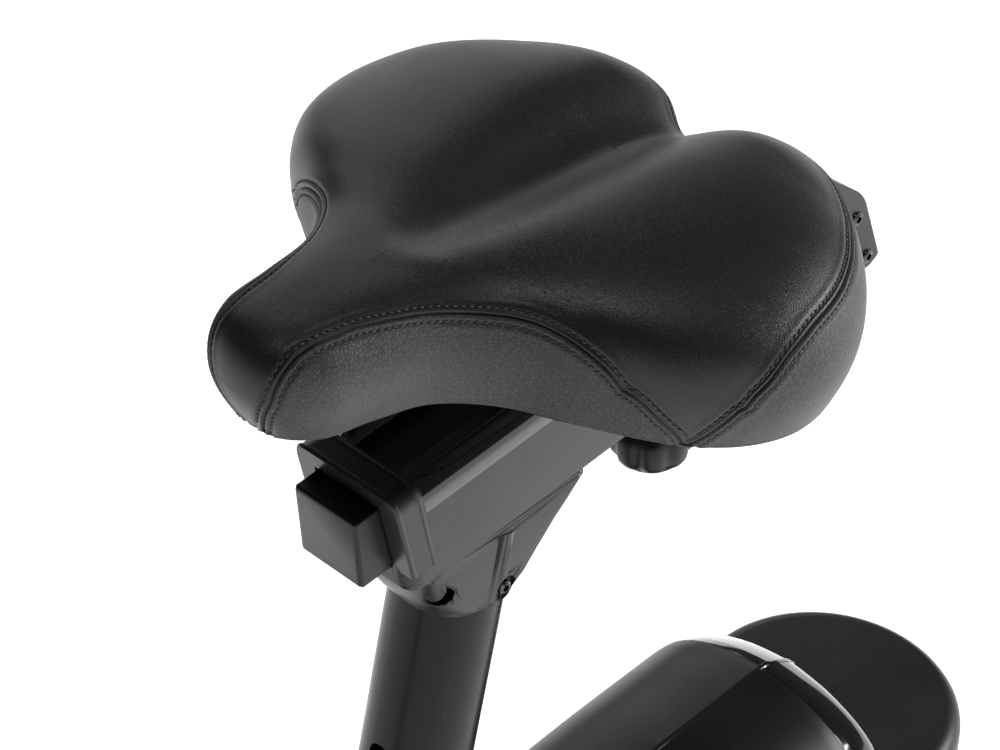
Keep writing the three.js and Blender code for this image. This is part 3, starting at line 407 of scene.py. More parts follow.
def surface(name, colour, rough, grain=1500.0, depth=0.06, metal=0.0, coat=0.0, worn=0.3, dust=0.04,
            spread=0.08, texture="moulded_texture", specular=0.5, fine=0.0004):
    """A hard finish: texture and unevenness, rubbed edges and a little dust."""
    material, tree, shader = new_material(name)
    grain_node = use(tree, texture, Scale=grain)
    mottle = grain_node.outputs[1]
    base = mix_colour(tree, mottle, colour, tuple(c * 1.5 for c in colour[:3]) + (1.0,))
    rubbed = use(tree, "edge_wear", Amount=worn).outputs[0]
    base = mix_colour(tree, rubbed, base, tuple(min(1.0, c * 3 + 0.03) for c in colour[:3]) + (1.0,))
    film = use(tree, "settled_dust", Amount=dust).outputs[0]
    base = mix_colour(tree, film, base, (0.22, 0.215, 0.2, 1.0))
    tree.links.new(base, shader.inputs["Base Color"])
    uneven = ranged(tree, mottle, 0.3, 0.7, rough - spread, rough + spread)
    tree.links.new(maths(tree, "MULTIPLY_ADD", film, 0.5, uneven), shader.inputs["Roughness"])
    bump = add_node(tree, "Bump", [("Height", grain_node.outputs["Height"]), ("Strength", depth),
                                   ("Distance", fine)])
    tree.links.new(bump.outputs[0], shader.inputs["Normal"])
    set_inputs(shader, Metallic=metal, Coat_Weight=coat, Coat_Roughness=0.06, Specular_IOR_Level=specular)
    return material


def cover_leather():
    """Grained synthetic leather: a fine top cover and coarser, greyer side panels, with darker sewn lines.
    The side panels' lighter grey is partly their own colour and partly painted light, and their pebble tops
    carry painted highlights.
    """
    material, tree, shader = new_material("saddle_leather")
    side = add_node(tree, "Attribute", attribute_name="side_panel").outputs["Fac"]
    seam = add_node(tree, "Attribute", attribute_name="seam").outputs["Fac"]
    fine = use(tree, "leather_grain", Scale=1150.0, Unevenness=0.25)
    coarse = use(tree, "leather_grain", Scale=640.0, Unevenness=0.45)
    top = mix_colour(tree, fine.outputs["Speckle"], grey(0.0085, 1.10), grey(0.017, 1.12))
    # painted light: the side panel grey is raised to stand in for the light on it, and its pebble tops are
    # speckled with painted highlights
    panel_with_painted_light = mix_colour(tree, coarse.outputs["Speckle"], grey(0.026, 1.10), grey(0.070, 1.12))
    base = mix_colour(tree, side, top, panel_with_painted_light)
    base = mix_colour(tree, seam, base, grey(0.004))
    film = use(tree, "settled_dust", Amount=0.02).outputs[0]
    base = mix_colour(tree, film, base, grey(0.12))
    tree.links.new(base, shader.inputs["Base Color"])
    slow = use(tree, "moulded_texture", Scale=60.0).outputs["Mottle"]
    gloss = ranged(tree, slow, 0.3, 0.7, 0.35, 0.43)
    tree.links.new(maths(tree, "MULTIPLY_ADD", side, 0.12, gloss), shader.inputs["Roughness"])
    height = add_node(tree, "Mix", [(0, side), (2, fine.outputs["Height"]), (3, coarse.outputs["Height"])])
    reach = add_node(tree, "Mix", [(0, side), (2, 0.30), (3, 0.62)])
    scaled = maths(tree, "MULTIPLY", height.outputs[0], reach.outputs[0])
    bump = add_node(tree, "Bump", [("Height", scaled), ("Strength", 0.55), ("Distance", 0.00035)])
    tree.links.new(bump.outputs[0], shader.inputs["Normal"])
    set_inputs(shader, Specular_IOR_Level=0.42, Sheen_Weight=0.05)
    return material


def display_glass():
    """A dark tinted window over a segment display that is off."""
    material, tree, shader = new_material("display_window")
    place = object_place(tree)
    cells = add_node(tree, "TexBrick", [("Vector", place), ("Scale", 42.0), ("Color1", grey(0.020)),
                                        ("Color2", grey(0.024)), ("Mortar", grey(0.012)),
                                        ("Mortar Size", 0.03)])
    film = use(tree, "settled_dust", Amount=0.05).outputs[0]
    tree.links.new(mix_colour(tree, film, cells.outputs["Color"], grey(0.3)), shader.inputs["Base Color"])
    uneven = use(tree, "moulded_texture", Scale=30.0)
    rough = ranged(tree, uneven.outputs["Mottle"], 0.0, 1.0, 0.05, 0.16)
    tree.links.new(rough, shader.inputs["Roughness"])
    set_inputs(shader, Coat_Weight=1.0, Coat_Roughness=0.03)
    return material


LEATHER = cover_leather()
# The thread is painted lighter than its own black, as painted highlights on the stitches.
THREAD = surface("stitch_thread", grey(0.035), 0.45, 4000.0, 0.3, worn=0.0, dust=0.0)
PAINT = surface("satin_frame_paint", grey(0.0105, 1.08), 0.33, 900.0, 0.05, worn=0.2, dust=0.03)
POST_PAINT = surface("satin_post_paint", grey(0.008, 1.05), 0.27, 700.0, 0.04, worn=0.15, dust=0.0,
                     specular=0.22)
HEAD_PAINT = surface("satin_head_paint", grey(0.016, 1.08), 0.34, 1600.0, 0.05, worn=0.15, dust=0.0,
                     spread=0.05, specular=0.4)
POLISHED = surface("polished_black", grey(0.004), 0.10, 120.0, 0.02, coat=1.0, worn=0.0, dust=0.0,
                   spread=0.03)
MOULDED = surface("moulded_black", grey(0.008), 0.38, 1900.0, 0.08, worn=0.15, dust=0.01, specular=0.3)
SHELL = surface("housing_shell_black", grey(0.009), 0.36, 2200.0, 0.06, worn=0.1, dust=0.01, spread=0.05,
                specular=0.35)
# A black shell; its strong blue tint is a painted sheen.
TAIL_SHELL = surface("tail_shell_blue_black", grey(0.0115, 1.45), 0.40, 2200.0, 0.06, worn=0.1, dust=0.02)
PAN_PLASTIC = surface("saddle_base_plastic", grey(0.014), 0.5, 1200.0, 0.15, worn=0.1, dust=0.02)
STEEL = surface("turned_steel", grey(0.55), 0.28, 900.0, 0.08, metal=1.0, worn=0.1, dust=0.05,
                texture="turning_marks")
SCREW_STEEL = surface("blackened_screw_steel", grey(0.05), 0.25, 900.0, 0.1, metal=1.0, worn=0.6, dust=0.0)
STEEL_BLACK = surface("blackened_rail_steel", grey(0.012), 0.35, 700.0, 0.05, worn=0.3, dust=0.02)
POLISHED_STEEL = surface("forged_crank_steel", grey(0.03), 0.3, 900.0, 0.08, metal=0.6, worn=0.4, dust=0.05)
IRON = surface("machined_cast_iron", grey(0.24), 0.42, 500.0, 0.25, metal=1.0, worn=0.3, dust=0.1)
RUBBER = surface("black_rubber", grey(0.013), 0.72, 2500.0, 0.35, worn=0.2, dust=0.12, specular=0.35)
FOAM = surface("grip_foam", grey(0.013), 0.85, 1300.0, 0.7, worn=0.1, dust=0.05, specular=0.3, fine=0.0006)
CONSOLE = surface("console_shell_black", grey(0.012), 0.25, 2000.0, 0.05, coat=0.2, worn=0.1, dust=0.05)
WINDOW = display_glass()
BUTTON_RED = surface("soft_button_red", (0.22, 0.012, 0.012, 1.0), 0.5, 1500.0, 0.1, worn=0.2, dust=0.03)

# ---- camera and light ----------------------------------------------------------------------------
lens = bpy.data.cameras.new("camera")
lens.lens, lens.sensor_width = 100.8, 36.0
lens.clip_start, lens.clip_end = 0.05, 60.0
camera = placed("camera", lens)
camera.location = (0.6266, -0.5072, 1.5444)
camera.rotation_euler = (51.41 * DEG, 0.0, 44.14 * DEG)
scene.camera = camera


def soft_light(name, place, aim, size, power):
    lamp = bpy.data.lights.new(name, "AREA")
    lamp.shape, lamp.size, lamp.size_y, lamp.energy = "RECTANGLE", size[0], size[1], power
    obj = placed(name, lamp)
    obj.location = place
    obj.rotation_euler = (Vector(aim) - Vector(place)).to_track_quat("-Z", "Y").to_euler()
    return obj


floor = mesh_object("floor", block((-9000, -9000, -20), (9000, 9000, -0.2)))
pale, tree, shader = new_material("pale_floor")
tone = use(tree, "moulded_texture", Scale=3.0).outputs[1]
tree.links.new(mix_colour(tree, tone, (0.80, 0.80, 0.80, 1), (0.84, 0.84, 0.84, 1)),
               shader.inputs["Base Color"])
set_inputs(shader, Roughness=0.9, Specular_IOR_Level=0.1, Emission_Color=(1.0, 1.0, 1.0, 1.0),
           Emission_Strength=1.0)
floor.data.materials.append(pale)
lamps = [soft_light("soft_rear_right", (1.45, 2.2, 1.5), (0.1, 0.15, 0.87), (1.1, 1.1), 52),
         soft_light("soft_overhead", (0.1, -0.1, 3.3), (0.05, 0.05, 0.8), (0.7, 0.7), 11),
         soft_light("soft_back_left", (-2.2, 1.7, 1.7), (0, 0.1, 0.8), (2.0, 1.5), 11),
         soft_light("soft_right", (2.6, -0.3, 0.7), (0, 0.0, 0.7), (1.4, 1.2), 9)]
world = bpy.data.worlds.new("studio")
world.use_nodes = True
seen = add_node(world.node_tree, "LightPath").outputs["Is Camera Ray"]
level = ranged(world.node_tree, seen, 0.0, 1.0, 0.06, 0.97)
world.node_tree.links.new(level, world.node_tree.nodes["Background"].inputs["Strength"])
world.node_tree.nodes["Background"].inputs["Color"].default_value = (1, 1, 1, 1)
scene.world = world
scene.view_settings.view_transform = "Standard"

# ---- saddle cover: a crowned pad with sewn side panels ---------------------------------------------
# Half of the widest outline, from the nose to the middle of the back, as (x, y) from the rail's front face.
OUTLINE = [(0, -43), (20, -38), (32, -22), (36, 2), (41, 27), (57, 49), (84, 66), (111, 85), (130, 109),
           (136, 137), (128, 170), (104, 202), (66, 227), (28, 230), (0, 216)]
SPINE = (-18.0, 165.0)
STATIONS = [-54, -20, 20, 60, 100, 150, 200, 232]
CROWN = [123, 124, 124, 123, 125, 126, 120, 112]
EDGE = [100, 100, 98, 88, 78, 73, 76, 86]
HEM = [80, 78, 73, 64, 55, 49, 49, 56]
VALLEY_STATIONS = [-54, 0, 40, 80, 120, 160, 214]
VALLEY_DEPTH = [0, 0, 3, 9, 15, 18, 19]
VALLEY_WIDTH = [14, 14, 18, 23, 25, 26, 26]
TUCK = 7.0


def through(xs, ys, x):
    """A smooth curve through the points, level past both ends."""
    xs, ys = np.array(xs, float), np.array(ys, float)
    step = np.diff(xs)
    rise = np.diff(ys) / step
    lean = np.zeros(len(xs))
    lean[1:-1] = np.where(rise[1:] * rise[:-1] > 0,
                          2 * rise[1:] * rise[:-1] / (rise[1:] + rise[:-1] + 1e-12), 0)
    lean[0], lean[-1] = rise[0] * 0.5, rise[-1] * 0.5
    x = np.clip(x, xs[0], xs[-1])
    i = np.clip(np.searchsorted(xs, x) - 1, 0, len(xs) - 2)
    t = (x - xs[i]) / step[i]
    return (ys[i] * (1 + 2 * t) * (1 - t) ** 2 + ys[i + 1] * t * t * (3 - 2 * t)
            + step[i] * (lean[i] * t * (1 - t) ** 2 - lean[i + 1] * t * t * (1 - t)))


def half_outline():
    """The half outline as a dense polyline, evenly spaced from the nose to the middle of the back."""
    pts = np.array([(-20, -38), *OUTLINE, (-28, 230)], float)
    out = []
    for k in range(1, len(pts) - 2):
        p0, p1, p2, p3 = pts[k - 1:k + 3]
        d0, d1, d2 = (max(np.linalg.norm(b - a) ** 0.5, 1e-6) for a, b in ((p0, p1), (p1, p2), (p2, p3)))
        m1 = ((p1 - p0) / d0 - (p2 - p0) / (d0 + d1) + (p2 - p1) / d1) * d1
        m2 = ((p2 - p1) / d1 - (p3 - p1) / (d1 + d2) + (p3 - p2) / d2) * d1
        t = np.linspace(0, 1, 60, endpoint=False)[:, None]
        out.append(p1 * (1 + 2 * t) * (1 - t) ** 2 + p2 * t * t * (3 - 2 * t) + m1 * t * (1 - t) ** 2
                   - m2 * t * t * (1 - t))
    line = np.vstack([*out, pts[-2:-1]])
    run = np.r_[0, np.cumsum(np.linalg.norm(np.diff(line, axis=0), axis=1))]
    even = np.linspace(0, run[-1], 1600)
    return np.stack([np.interp(even, run, line[:, c]) for c in (0, 1)], axis=1)


HALF = half_outline()


def saddle_point(a, q):
    """The cover's surface. a runs 0 to 1 round the half outline from the nose. q is 0 on the spine, 1 on the
    widest line and 2 at the hem, and past 2 the cover rolls under."""
    a, q = np.broadcast_arrays(np.asarray(a, float), np.asarray(q, float))
    grid = np.linspace(0, 1, len(HALF))
    x, y = np.interp(a, grid, HALF[:, 0]), np.interp(a, grid, HALF[:, 1])
    spine = np.clip(y, *SPINE)
    share = np.sin(np.clip(q, 0, 1) * math.pi / 2)
    px, py = x * share, spine + (y - spine) * share
    edge = through(STATIONS, EDGE, y)
    crown = through(STATIONS, CROWN, py) - through(VALLEY_STATIONS, VALLEY_DEPTH, py) * np.exp(
        -(px / through(VALLEY_STATIONS, VALLEY_WIDTH, py)) ** 2)
    pz = edge + (crown - edge) * (1 - share ** 3.3) ** (1 / 2.3)
    reach = np.hypot(x, y - spine)
    skirt = np.clip(q - 1, 0, 1)
    roll = np.clip(q - 2, 0, 1) * math.pi
    inward = TUCK * skirt ** 1.7 + 3.0 * (1 - np.cos(roll))
    px = px - x / reach * inward
    py = py - (y - spine) / reach * inward
    pz = pz - (edge - through(STATIONS, HEM,
                              y)) * skirt - 2.6 * np.sin(roll) * (roll < math.pi) + 2.0 * (q > 2.9)
    return np.stack([px, py, pz], axis=-1)


# Where the sewn line runs: how far round the half outline, and how far down the cover there.
SEAM = [(0, 2.6), (0.018, 2.2), (0.026, 1.83), (0.036, 1.2), (0.044, 0.90), (0.056, 0.69), (0.074, 0.54),
        (0.105, 0.46), (0.136, 0.48), (0.165, 0.54), (0.19, 0.60), (0.22, 0.655), (0.25, 0.685),
        (0.28, 0.705), (0.30, 0.73), (0.32, 0.78), (0.335, 0.84), (0.353, 0.93), (0.375, 1.09),
        (0.401, 1.47), (0.423, 1.80), (0.436, 2.05), (0.447, 1.79), (0.457, 1.43), (0.473, 1.02),
        (0.499, 0.91), (0.531, 0.82), (0.573, 0.77), (0.609, 0.76), (0.653, 0.75), (0.70, 0.75),
        (0.75, 0.77), (0.85, 0.80), (1, 0.82)]
SEAM_HEM = 2.15                        # the line is hidden under the hem past this
STITCH_LINE = 3.0                      # stitches lie this far either side of the join
STITCH_PITCH = 3.1
STITCHED_TO = 1.85                     # no stitches show below this depth
# Rise, distance from the join and width of the groove, folded edge, stitch line and the puff beyond it.
SEAM_PROFILE = [(-0.75, 0, 0.5), (0.5, 1.5, 0.9), (-0.38, STITCH_LINE, 0.6), (0.3, 5, 1.6)]
FILLING_PRESSURE = 4
SWELLING_LIMIT = 5.0
COVER_INSET = 1.2                      # the cover starts this much smaller, and the filling swells it back


def seam_depth(a):
    return through([s[0] for s in SEAM], [s[1] for s in SEAM], a)


def blurred(grid, passes):
    """The grid smoothed along both of its first two axes."""
    for _ in range(passes):
        for axis in (0, 1):
            before, after = np.roll(grid, 1, axis), np.roll(grid, -1, axis)
            index = [slice(None)] * grid.ndim
            for end in (0, -1):
                index[axis] = end
                (before if end == 0 else after)[tuple(index)] = grid[tuple(index)]
            grid = grid * 0.5 + (before + after) * 0.25
    return grid


def both_halves(grid):
    """Closed rings from a half grid, with the other half as its mirror image."""
    other = grid[:, -2:0:-1].copy()
    other[..., 0] *= -1
    return np.concatenate([grid, other], axis=1)


def underside(a):
    """Rings that close the cover over the saddle's base, from the rolled hem to the spine."""
    rings = []
    hem = saddle_point(a, 3.0)
    spine = saddle_point(a, 0.0)
    for inward, lift in ((0.4, 6.0), (0.4, 13.4), (0.35, 13.4), (0.7, 13.4), (1.0, 13.4)):
        ring = hem.copy()
        if inward < 0.41 and inward != 0.35:
            reach = np.hypot(ring[:, 0], ring[:, 1] - spine[:, 1])
            ring[:, 0] -= ring[:, 0] / reach * inward
            ring[:, 1] -= (ring[:, 1] - spine[:, 1]) / reach * inward
        else:
            ring[:, :2] = hem[:, :2] * (1 - inward) + spine[:, :2] * inward
        ring[:, 2] = through(STATIONS, HEM, ring[:, 1]) + lift + 2.0
        rings.append(ring)
    return np.array(rings)


def grid_normals(grid):
    down, along = np.gradient(grid, axis=0), np.gradient(grid, axis=1)
    normal = np.cross(down, along)
    length = np.linalg.norm(normal, axis=2, keepdims=True)
    return normal / np.maximum(length, 1e-9)


def spine_normals(normals, stations):
    """The same normals, made even where all of the stations meet at the two ends of the spine."""
    normals = normals.copy()
    y = np.interp(stations, np.linspace(0, 1, len(HALF)), HALF[:, 1])
    inside = np.flatnonzero((y > SPINE[0] + 6) & (y < SPINE[1] - 6))
    nearest = np.clip(np.arange(len(stations)), inside[0], inside[-1])
    middle = normals[3, nearest] * (0, 1, 1)
    middle /= np.linalg.norm(middle, axis=1, keepdims=True)
    for row in range(4):
        share = row / 4
        blend = middle * (1 - share) + normals[4] * share
        normals[row] = blend / np.linalg.norm(blend, axis=1, keepdims=True)
    return normals


def filled_swelling(stations, depths):
    """How far the cover swells at each grid place when it is filled, held at its seams and hem."""
    a = np.broadcast_to(stations, (len(depths), len(stations)))
    q = np.broadcast_to(depths[:, None], a.shape)
    rest = saddle_point(a, q)
    rings = both_halves(np.concatenate([rest, underside(stations)]))
    pad = mesh_object("filling", skin(list(rings), ends=False))
    held = pad.vertex_groups.new(name="held")
    line = KDTree(len(stations))
    for k, p in enumerate(saddle_point(stations, np.minimum(seam_depth(stations), 2.0))):
        line.insert(Vector((abs(p[0]), p[1], p[2])), k)
    line.balance()
    for v in pad.data.vertices:
        p = v.co / MM
        low = p.z < through(STATIONS, HEM, p.y) + 3
        near = line.find(Vector((abs(p.x), p.y, p.z)))[2]
        inside = abs(p.x) < 100 and p.z < through(STATIONS, HEM, p.y) + 17
        by_seam = 1.0 if near < 2.5 else max(0.0, 1 - (near - 2.5) / 6) * 0.6
        held.add([v.index], 1.0 if low or inside else by_seam, "REPLACE")
    start = np.array([v.co for v in pad.data.vertices])
    cloth = pad.modifiers.new("filling", "CLOTH")
    cloth.settings.quality = 5
    cloth.settings.mass = 0.4
    cloth.settings.tension_stiffness = cloth.settings.compression_stiffness = 20
    cloth.settings.bending_stiffness = 1.5
    cloth.settings.use_pressure = True
    cloth.settings.uniform_pressure_force = FILLING_PRESSURE
    cloth.settings.vertex_group_mass = "held"
    cloth.settings.effector_weights.gravity = 0
    cloth.collision_settings.use_collision = False
    cloth.point_cache.frame_start, cloth.point_cache.frame_end = 1, 20
    for step in range(1, 21):
        scene.frame_set(step)
    evaluated = pad.evaluated_get(bpy.context.evaluated_depsgraph_get())
    swollen = np.array([v.co for v in evaluated.to_mesh().vertices])
    scene.frame_set(1)
    bpy.data.objects.remove(pad)
    moved = (swollen - start) / MM
    size = np.linalg.norm(moved, axis=1, keepdims=True)
    moved *= np.minimum(1, SWELLING_LIMIT / np.maximum(size, 1e-9))
    tree = KDTree(len(start))
    for k, p in enumerate(start / MM):
        tree.insert(p, k)
    tree.balance()
    found = np.array([tree.find(p)[1] for p in rest.reshape(-1, 3)])
    return blurred(moved[found].reshape(rest.shape), 2)


def saddle_cover():
    """The cover's mesh with its seams pressed in, and the seam's two runs as (places, inward directions)."""
    dense = np.linspace(0, 1, 2000)
    weight = 1 + 1.1 * ((dense > 0.012) & (dense < 0.1)) + 1.1 * ((dense > 0.35) & (dense < 0.49))
    run = np.cumsum(weight)
    stations = np.interp(np.linspace(run[0], run[-1], 352), run, dense)
    stations[0], stations[-1] = 0.0, 1.0
    inner, outer = ((78, 50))
    depths = np.zeros((inner + outer + 1, len(stations)))
    for k, a in enumerate(stations):
        q = np.linspace(0, 3, 500)
        way = saddle_point(a, q)
        length = np.r_[0, np.cumsum(np.linalg.norm(np.diff(way, axis=0), axis=1))]
        at = np.interp(min(seam_depth(a), 2.4), q, length)
        t = np.linspace(0, 1, inner + 1)
        near = min(0.45 * inner, at)
        depths[:inner + 1, k] = np.interp(at - near * t - (at - near) * t * t, length, q)[::-1]
        t = np.linspace(0, 1, outer + 1)
        rest = length[-1] - at
        near = min(0.45 * outer, rest)
        depths[inner:, k] = np.interp(at + near * t + (rest - near) * t * t, length, q)
    grid = saddle_point(np.broadcast_to(stations, depths.shape), depths)
    c_a, c_q = np.linspace(0, 1, 90), np.r_[np.linspace(0, 2, 40), np.linspace(2.25, 3, 4)]
    swelling = filled_swelling(c_a, c_q)
    i = np.clip(np.interp(depths, c_q, np.arange(len(c_q))), 0, len(c_q) - 1.001)
    j = np.clip(np.interp(stations, c_a, np.arange(len(c_a))), 0, len(c_a) - 1.001)[None, :] + 0 * i
    i0, j0 = i.astype(int), j.astype(int)
    u, v = (i - i0)[..., None], (j - j0)[..., None]
    grid = grid - COVER_INSET * spine_normals(grid_normals(grid) * outward_sign(grid), stations)
    grid = grid + (swelling[i0, j0] * (1 - u) * (1 - v) + swelling[i0 + 1, j0] * u * (1 - v)
                   + swelling[i0, j0 + 1] * (1 - u) * v + swelling[i0 + 1, j0 + 1] * u * v)
    grid[:, (0, -1), 0] = 0.0
    grid[0, :, 0] = 0.0
    normals = grid_normals(grid) * outward_sign(grid)
    normals = spine_normals(normals, stations)
    line = grid[inner].copy()
    shown = seam_depth(stations) < SEAM_HEM
    tree = KDTree(4 * len(stations))
    fine = np.linspace(0, len(stations) - 1, 4 * len(stations))
    base = np.arange(len(stations))
    for k, f in enumerate(fine):
        if shown[int(round(f))]:
            tree.insert([np.interp(f, base, line[:, c]) for c in range(3)], k)
    tree.balance()
    away = np.array([tree.find(p)[2] for p in grid.reshape(-1, 3)]).reshape(depths.shape)
    side = np.where(depths > seam_depth(stations)[None, :], 1.0, -1.0)
    height = sum(rise * np.exp(-((away - at) / width) ** 2) for rise, at, width in SEAM_PROFILE)
    top = 1.0 / (1.0 + np.exp(-(away * side) / 0.25))
    dark = 0.9 * np.exp(-(away / 0.45) ** 2) + 0.45 * np.exp(-((away - STITCH_LINE) / 0.55) ** 2)
    grid = grid + normals * height[..., None]
    grid[:, (0, -1), 0] = 0.0
    grid[0, :, 0] = 0.0
    runs = []
    for piece in (stations < 0.436, stations > 0.436):
        keep = piece & (seam_depth(stations) < STITCHED_TO)
        runs.append((line[keep], normals[inner][keep]))
    return grid, underside(stations), top, dark, runs


def outward_sign(grid):
    """1 or -1, so that the grid's normals point out of the cover."""
    middle = grid[len(grid) // 3, grid.shape[1] // 2]
    normal = grid_normals(grid)[len(grid) // 3, grid.shape[1] // 2]
    return 1.0 if normal @ (middle - np.array([0, 100, 60])) > 0 else -1.0


def build_saddle():
    grid, under, side, dark, runs = saddle_cover()
    under[:, (0, -1), 0] = 0.0
    rings = both_halves(np.concatenate([grid, under]))
    rings = rings + np.array(RAIL_FRONT)
    flat = np.concatenate([side, np.ones((len(under), side.shape[1]))])
    lines = np.concatenate([dark, np.zeros((len(under), side.shape[1]))])
    flat = np.concatenate([flat, flat[:, -2:0:-1]], axis=1)
    lines = np.concatenate([lines, lines[:, -2:0:-1]], axis=1)
    points, faces = skin(list(rings), ends=False)
    mesh = bpy.data.meshes.new("saddle_cover")
    mesh.from_pydata([tuple(p * MM) for p in points], [], faces)
    for name, values in (("side_panel", flat), ("seam", lines)):
        mesh.attributes.new(name, "FLOAT", "POINT").data.foreach_set("value",
                                                                     values.astype(np.float32).ravel())
    cover = placed("saddle_cover", welded(mesh, 2e-6))
    finish(cover, LEATHER, "saddle", ["saddle_pad"], angle=80)
    tree = BVHTree.FromPolygons([v.co for v in mesh.vertices], [tuple(p.vertices) for p in mesh.polygons])
    sewn = []
    for places, normals in runs:
        length = np.r_[0, np.cumsum(np.linalg.norm(np.diff(places, axis=0), axis=1))]
        for s in np.arange(1.5, length[-1] - 1, STITCH_PITCH):
            p, ahead = (np.array([np.interp(x, length, places[:, c]) for c in range(3)]) for x in (s, s + 1))
            normal = np.array([np.interp(s, length, normals[:, c]) for c in range(3)])
            along = (ahead - p) / max(np.linalg.norm(ahead - p), 1e-9)
            across = np.cross(normal, along)
            for row in (-1, 1):
                for mirror in (1, -1):
                    flip = np.array([mirror, 1, 1])
                    at = Vector((p + across * row * STITCH_LINE) * flip) + RAIL_FRONT
                    sewn.append((at * MM, Vector(along * flip)))
    build = bmesh.new()
    for at, along in sewn:
        spot, normal, _, _ = tree.find_nearest(at)
        along = (along - normal * along.dot(normal)).normalized()
        across = normal.cross(along)
        rings = []
        for s, r, lift in ((-1.15, 0.16, -0.05), (-0.8, 0.36, 0.16), (0, 0.42, 0.30), (0.8, 0.36, 0.16),
                           (1.15, 0.16, -0.05)):
            rings.append([build.verts.new(spot + (along * s + across * r * math.cos(t)
                                                  + normal * (lift + r * math.sin(t))) * MM)
                          for t in (k * math.pi / 3 for k in range(6))])
        for a, b in zip(rings, rings[1:]):
            for i in range(6):
                build.faces.new((a[i], a[(i + 1) % 6], b[(i + 1) % 6], b[i]))
        build.faces.new(rings[0][::-1])
        build.faces.new(rings[-1])
    mesh = bpy.data.meshes.new("saddle_stitching")
    bmesh.ops.recalc_face_normals(build, faces=build.faces)
    build.to_mesh(mesh)
    build.free()
    finish(placed("saddle_stitching", mesh), THREAD, "saddle", angle=60)


build_saddle()


# ---- saddle base, rail and post head ---------------------------------------------------------------
def pan_ring(stations, inset, lift, share=0.0):
    """A ring round the saddle's base: inset from the widest outline, and lift above the hem."""
    grid = np.linspace(0, 1, len(HALF))
    x, y = np.interp(stations, grid, HALF[:, 0]), np.interp(stations, grid, HALF[:, 1])
    spine = np.clip(y, *SPINE)
    reach = np.hypot(x, y - spine)
    px, py = x - x / reach * inset, y - (y - spine) / reach * inset
    px, py = px * (1 - share), py + (spine - py) * share
    return np.stack([px, py, through(STATIONS, HEM, y) + lift], axis=-1)


def build_saddle_base():
    stations = np.linspace(0, 1, 90)
    rows = [(14.4, 14.6, 1), (14.4, 14.6, 0), (14.4, 8.4, 0), (14.8, 7.4, 0), (16, 7, 0), (23, 7, 0),
            (24.2, 7.6, 0), (25.2, 9.2, 0), (27, 9.6, 0), (27, 9.6, 0.25), (27, 9.6, 0.3), (27, 8.2, 0.35),
            (27, 8.2, 0.45), (27, 9.6, 0.5), (27, 9.6, 1)]
    grid = np.array([pan_ring(stations, inset, lift, share) for inset, lift, share in rows])
    grid[:, (0, -1), 0] = 0.0
    points = both_halves(grid) + np.array(RAIL_FRONT)
    make("saddle_base", skin(list(points), ends=False), PAN_PLASTIC, "saddle", ["saddle_pan"])


def screw(base, axis, r=3.6, high=2.2, socket=1.9):
    """A small button-head screw with a hexagon socket."""
    data = turned([(0, -2), (r * 0.7, -2), (r, -0.2), (r, 0.3), (r * 0.92, high * 0.7), (r * 0.6, high),
                   (0, high)],
                  base, axis, 32)
    obj = mesh_object("screw", data)
    axis = Vector(axis).normalized()
    return combine(obj, [turned([(0, 0.5), (socket, 0.5), (socket, high + 2), (0, high + 2)], base, axis, 6)])


def screws(name, places, material, body, r=3.6):
    made = [screw(base, axis, r) for base, axis in places]
    build = bmesh.new()
    for obj in made:
        build.from_mesh(obj.data)
        bpy.data.objects.remove(obj)
    mesh = bpy.data.meshes.new(name)
    build.to_mesh(mesh)
    build.free()
    return finish(placed(name, mesh), material, body, angle=30)


def square(half, radius, steps=5):
    return rounded(half * 2, half * 2, radius, steps)


def build_rail():
    make("saddle_rail_tube", rail_bar(square(RAIL_HALF, 2.5), 20.3, RAIL_END, square(RAIL_HALF - 2, 1.2)),
         STEEL_BLACK, "saddle", ["saddle_rail"], 0.25)
    rings = [[on_rail(p[0], y, p[1]) for p in square(half, r)] for y, half, r in
             ((0, 16.3, 1.4), (0.35, 17.0, 1.4), (1.5, 17.75, 1.5), (19.6, 17.75, 1.5), (20, 17.4, 1.5),
              (20, 15.3, 1.2), (34, 15.3, 1.2), (35, 14.6, 1.2))]
    make("rail_front_cap", skin(rings), MOULDED, "saddle", ["rail_cap_front"], angle=28)
    outline = eased([(277, -20.5), (296, -20.5), (306, -44), (320, -46.5), (328, -43), (316, -5), (312, 1.4),
                     (291, 20.5), (277, 20.5)], 2.5, 4)
    end = mesh_object("rail_end_fitting", skin([[on_rail(x, y, z) for y, z in outline] for x in (-21, 21)]))
    combine(end, [rail_bar(square(RAIL_HALF + 0.3, 2.5), 260, RAIL_END + 0.3)])
    finish(end, MOULDED, "saddle", ["rail_end_boot"], 1.2, 32, 3)
    places = [(on_rail(20.6 * s, y, z), X_AXIS * s) for s in (1, -1) for y, z in ((308.5, -11), (317.5, -38))]
    screws("rail_end_screws", places, SCREW_STEEL, "saddle", 3.6)
    bracket = mesh_object("saddle_mount", block((-12, 112, 17.8), (12, 162, 40), on_rail))
    combine(bracket, [block((-30, 98, 38.5), (30, 176, 42.5), on_rail)], "UNION")
    finish(bracket, PAINT, "saddle", ["saddle_bracket"], 0.7)


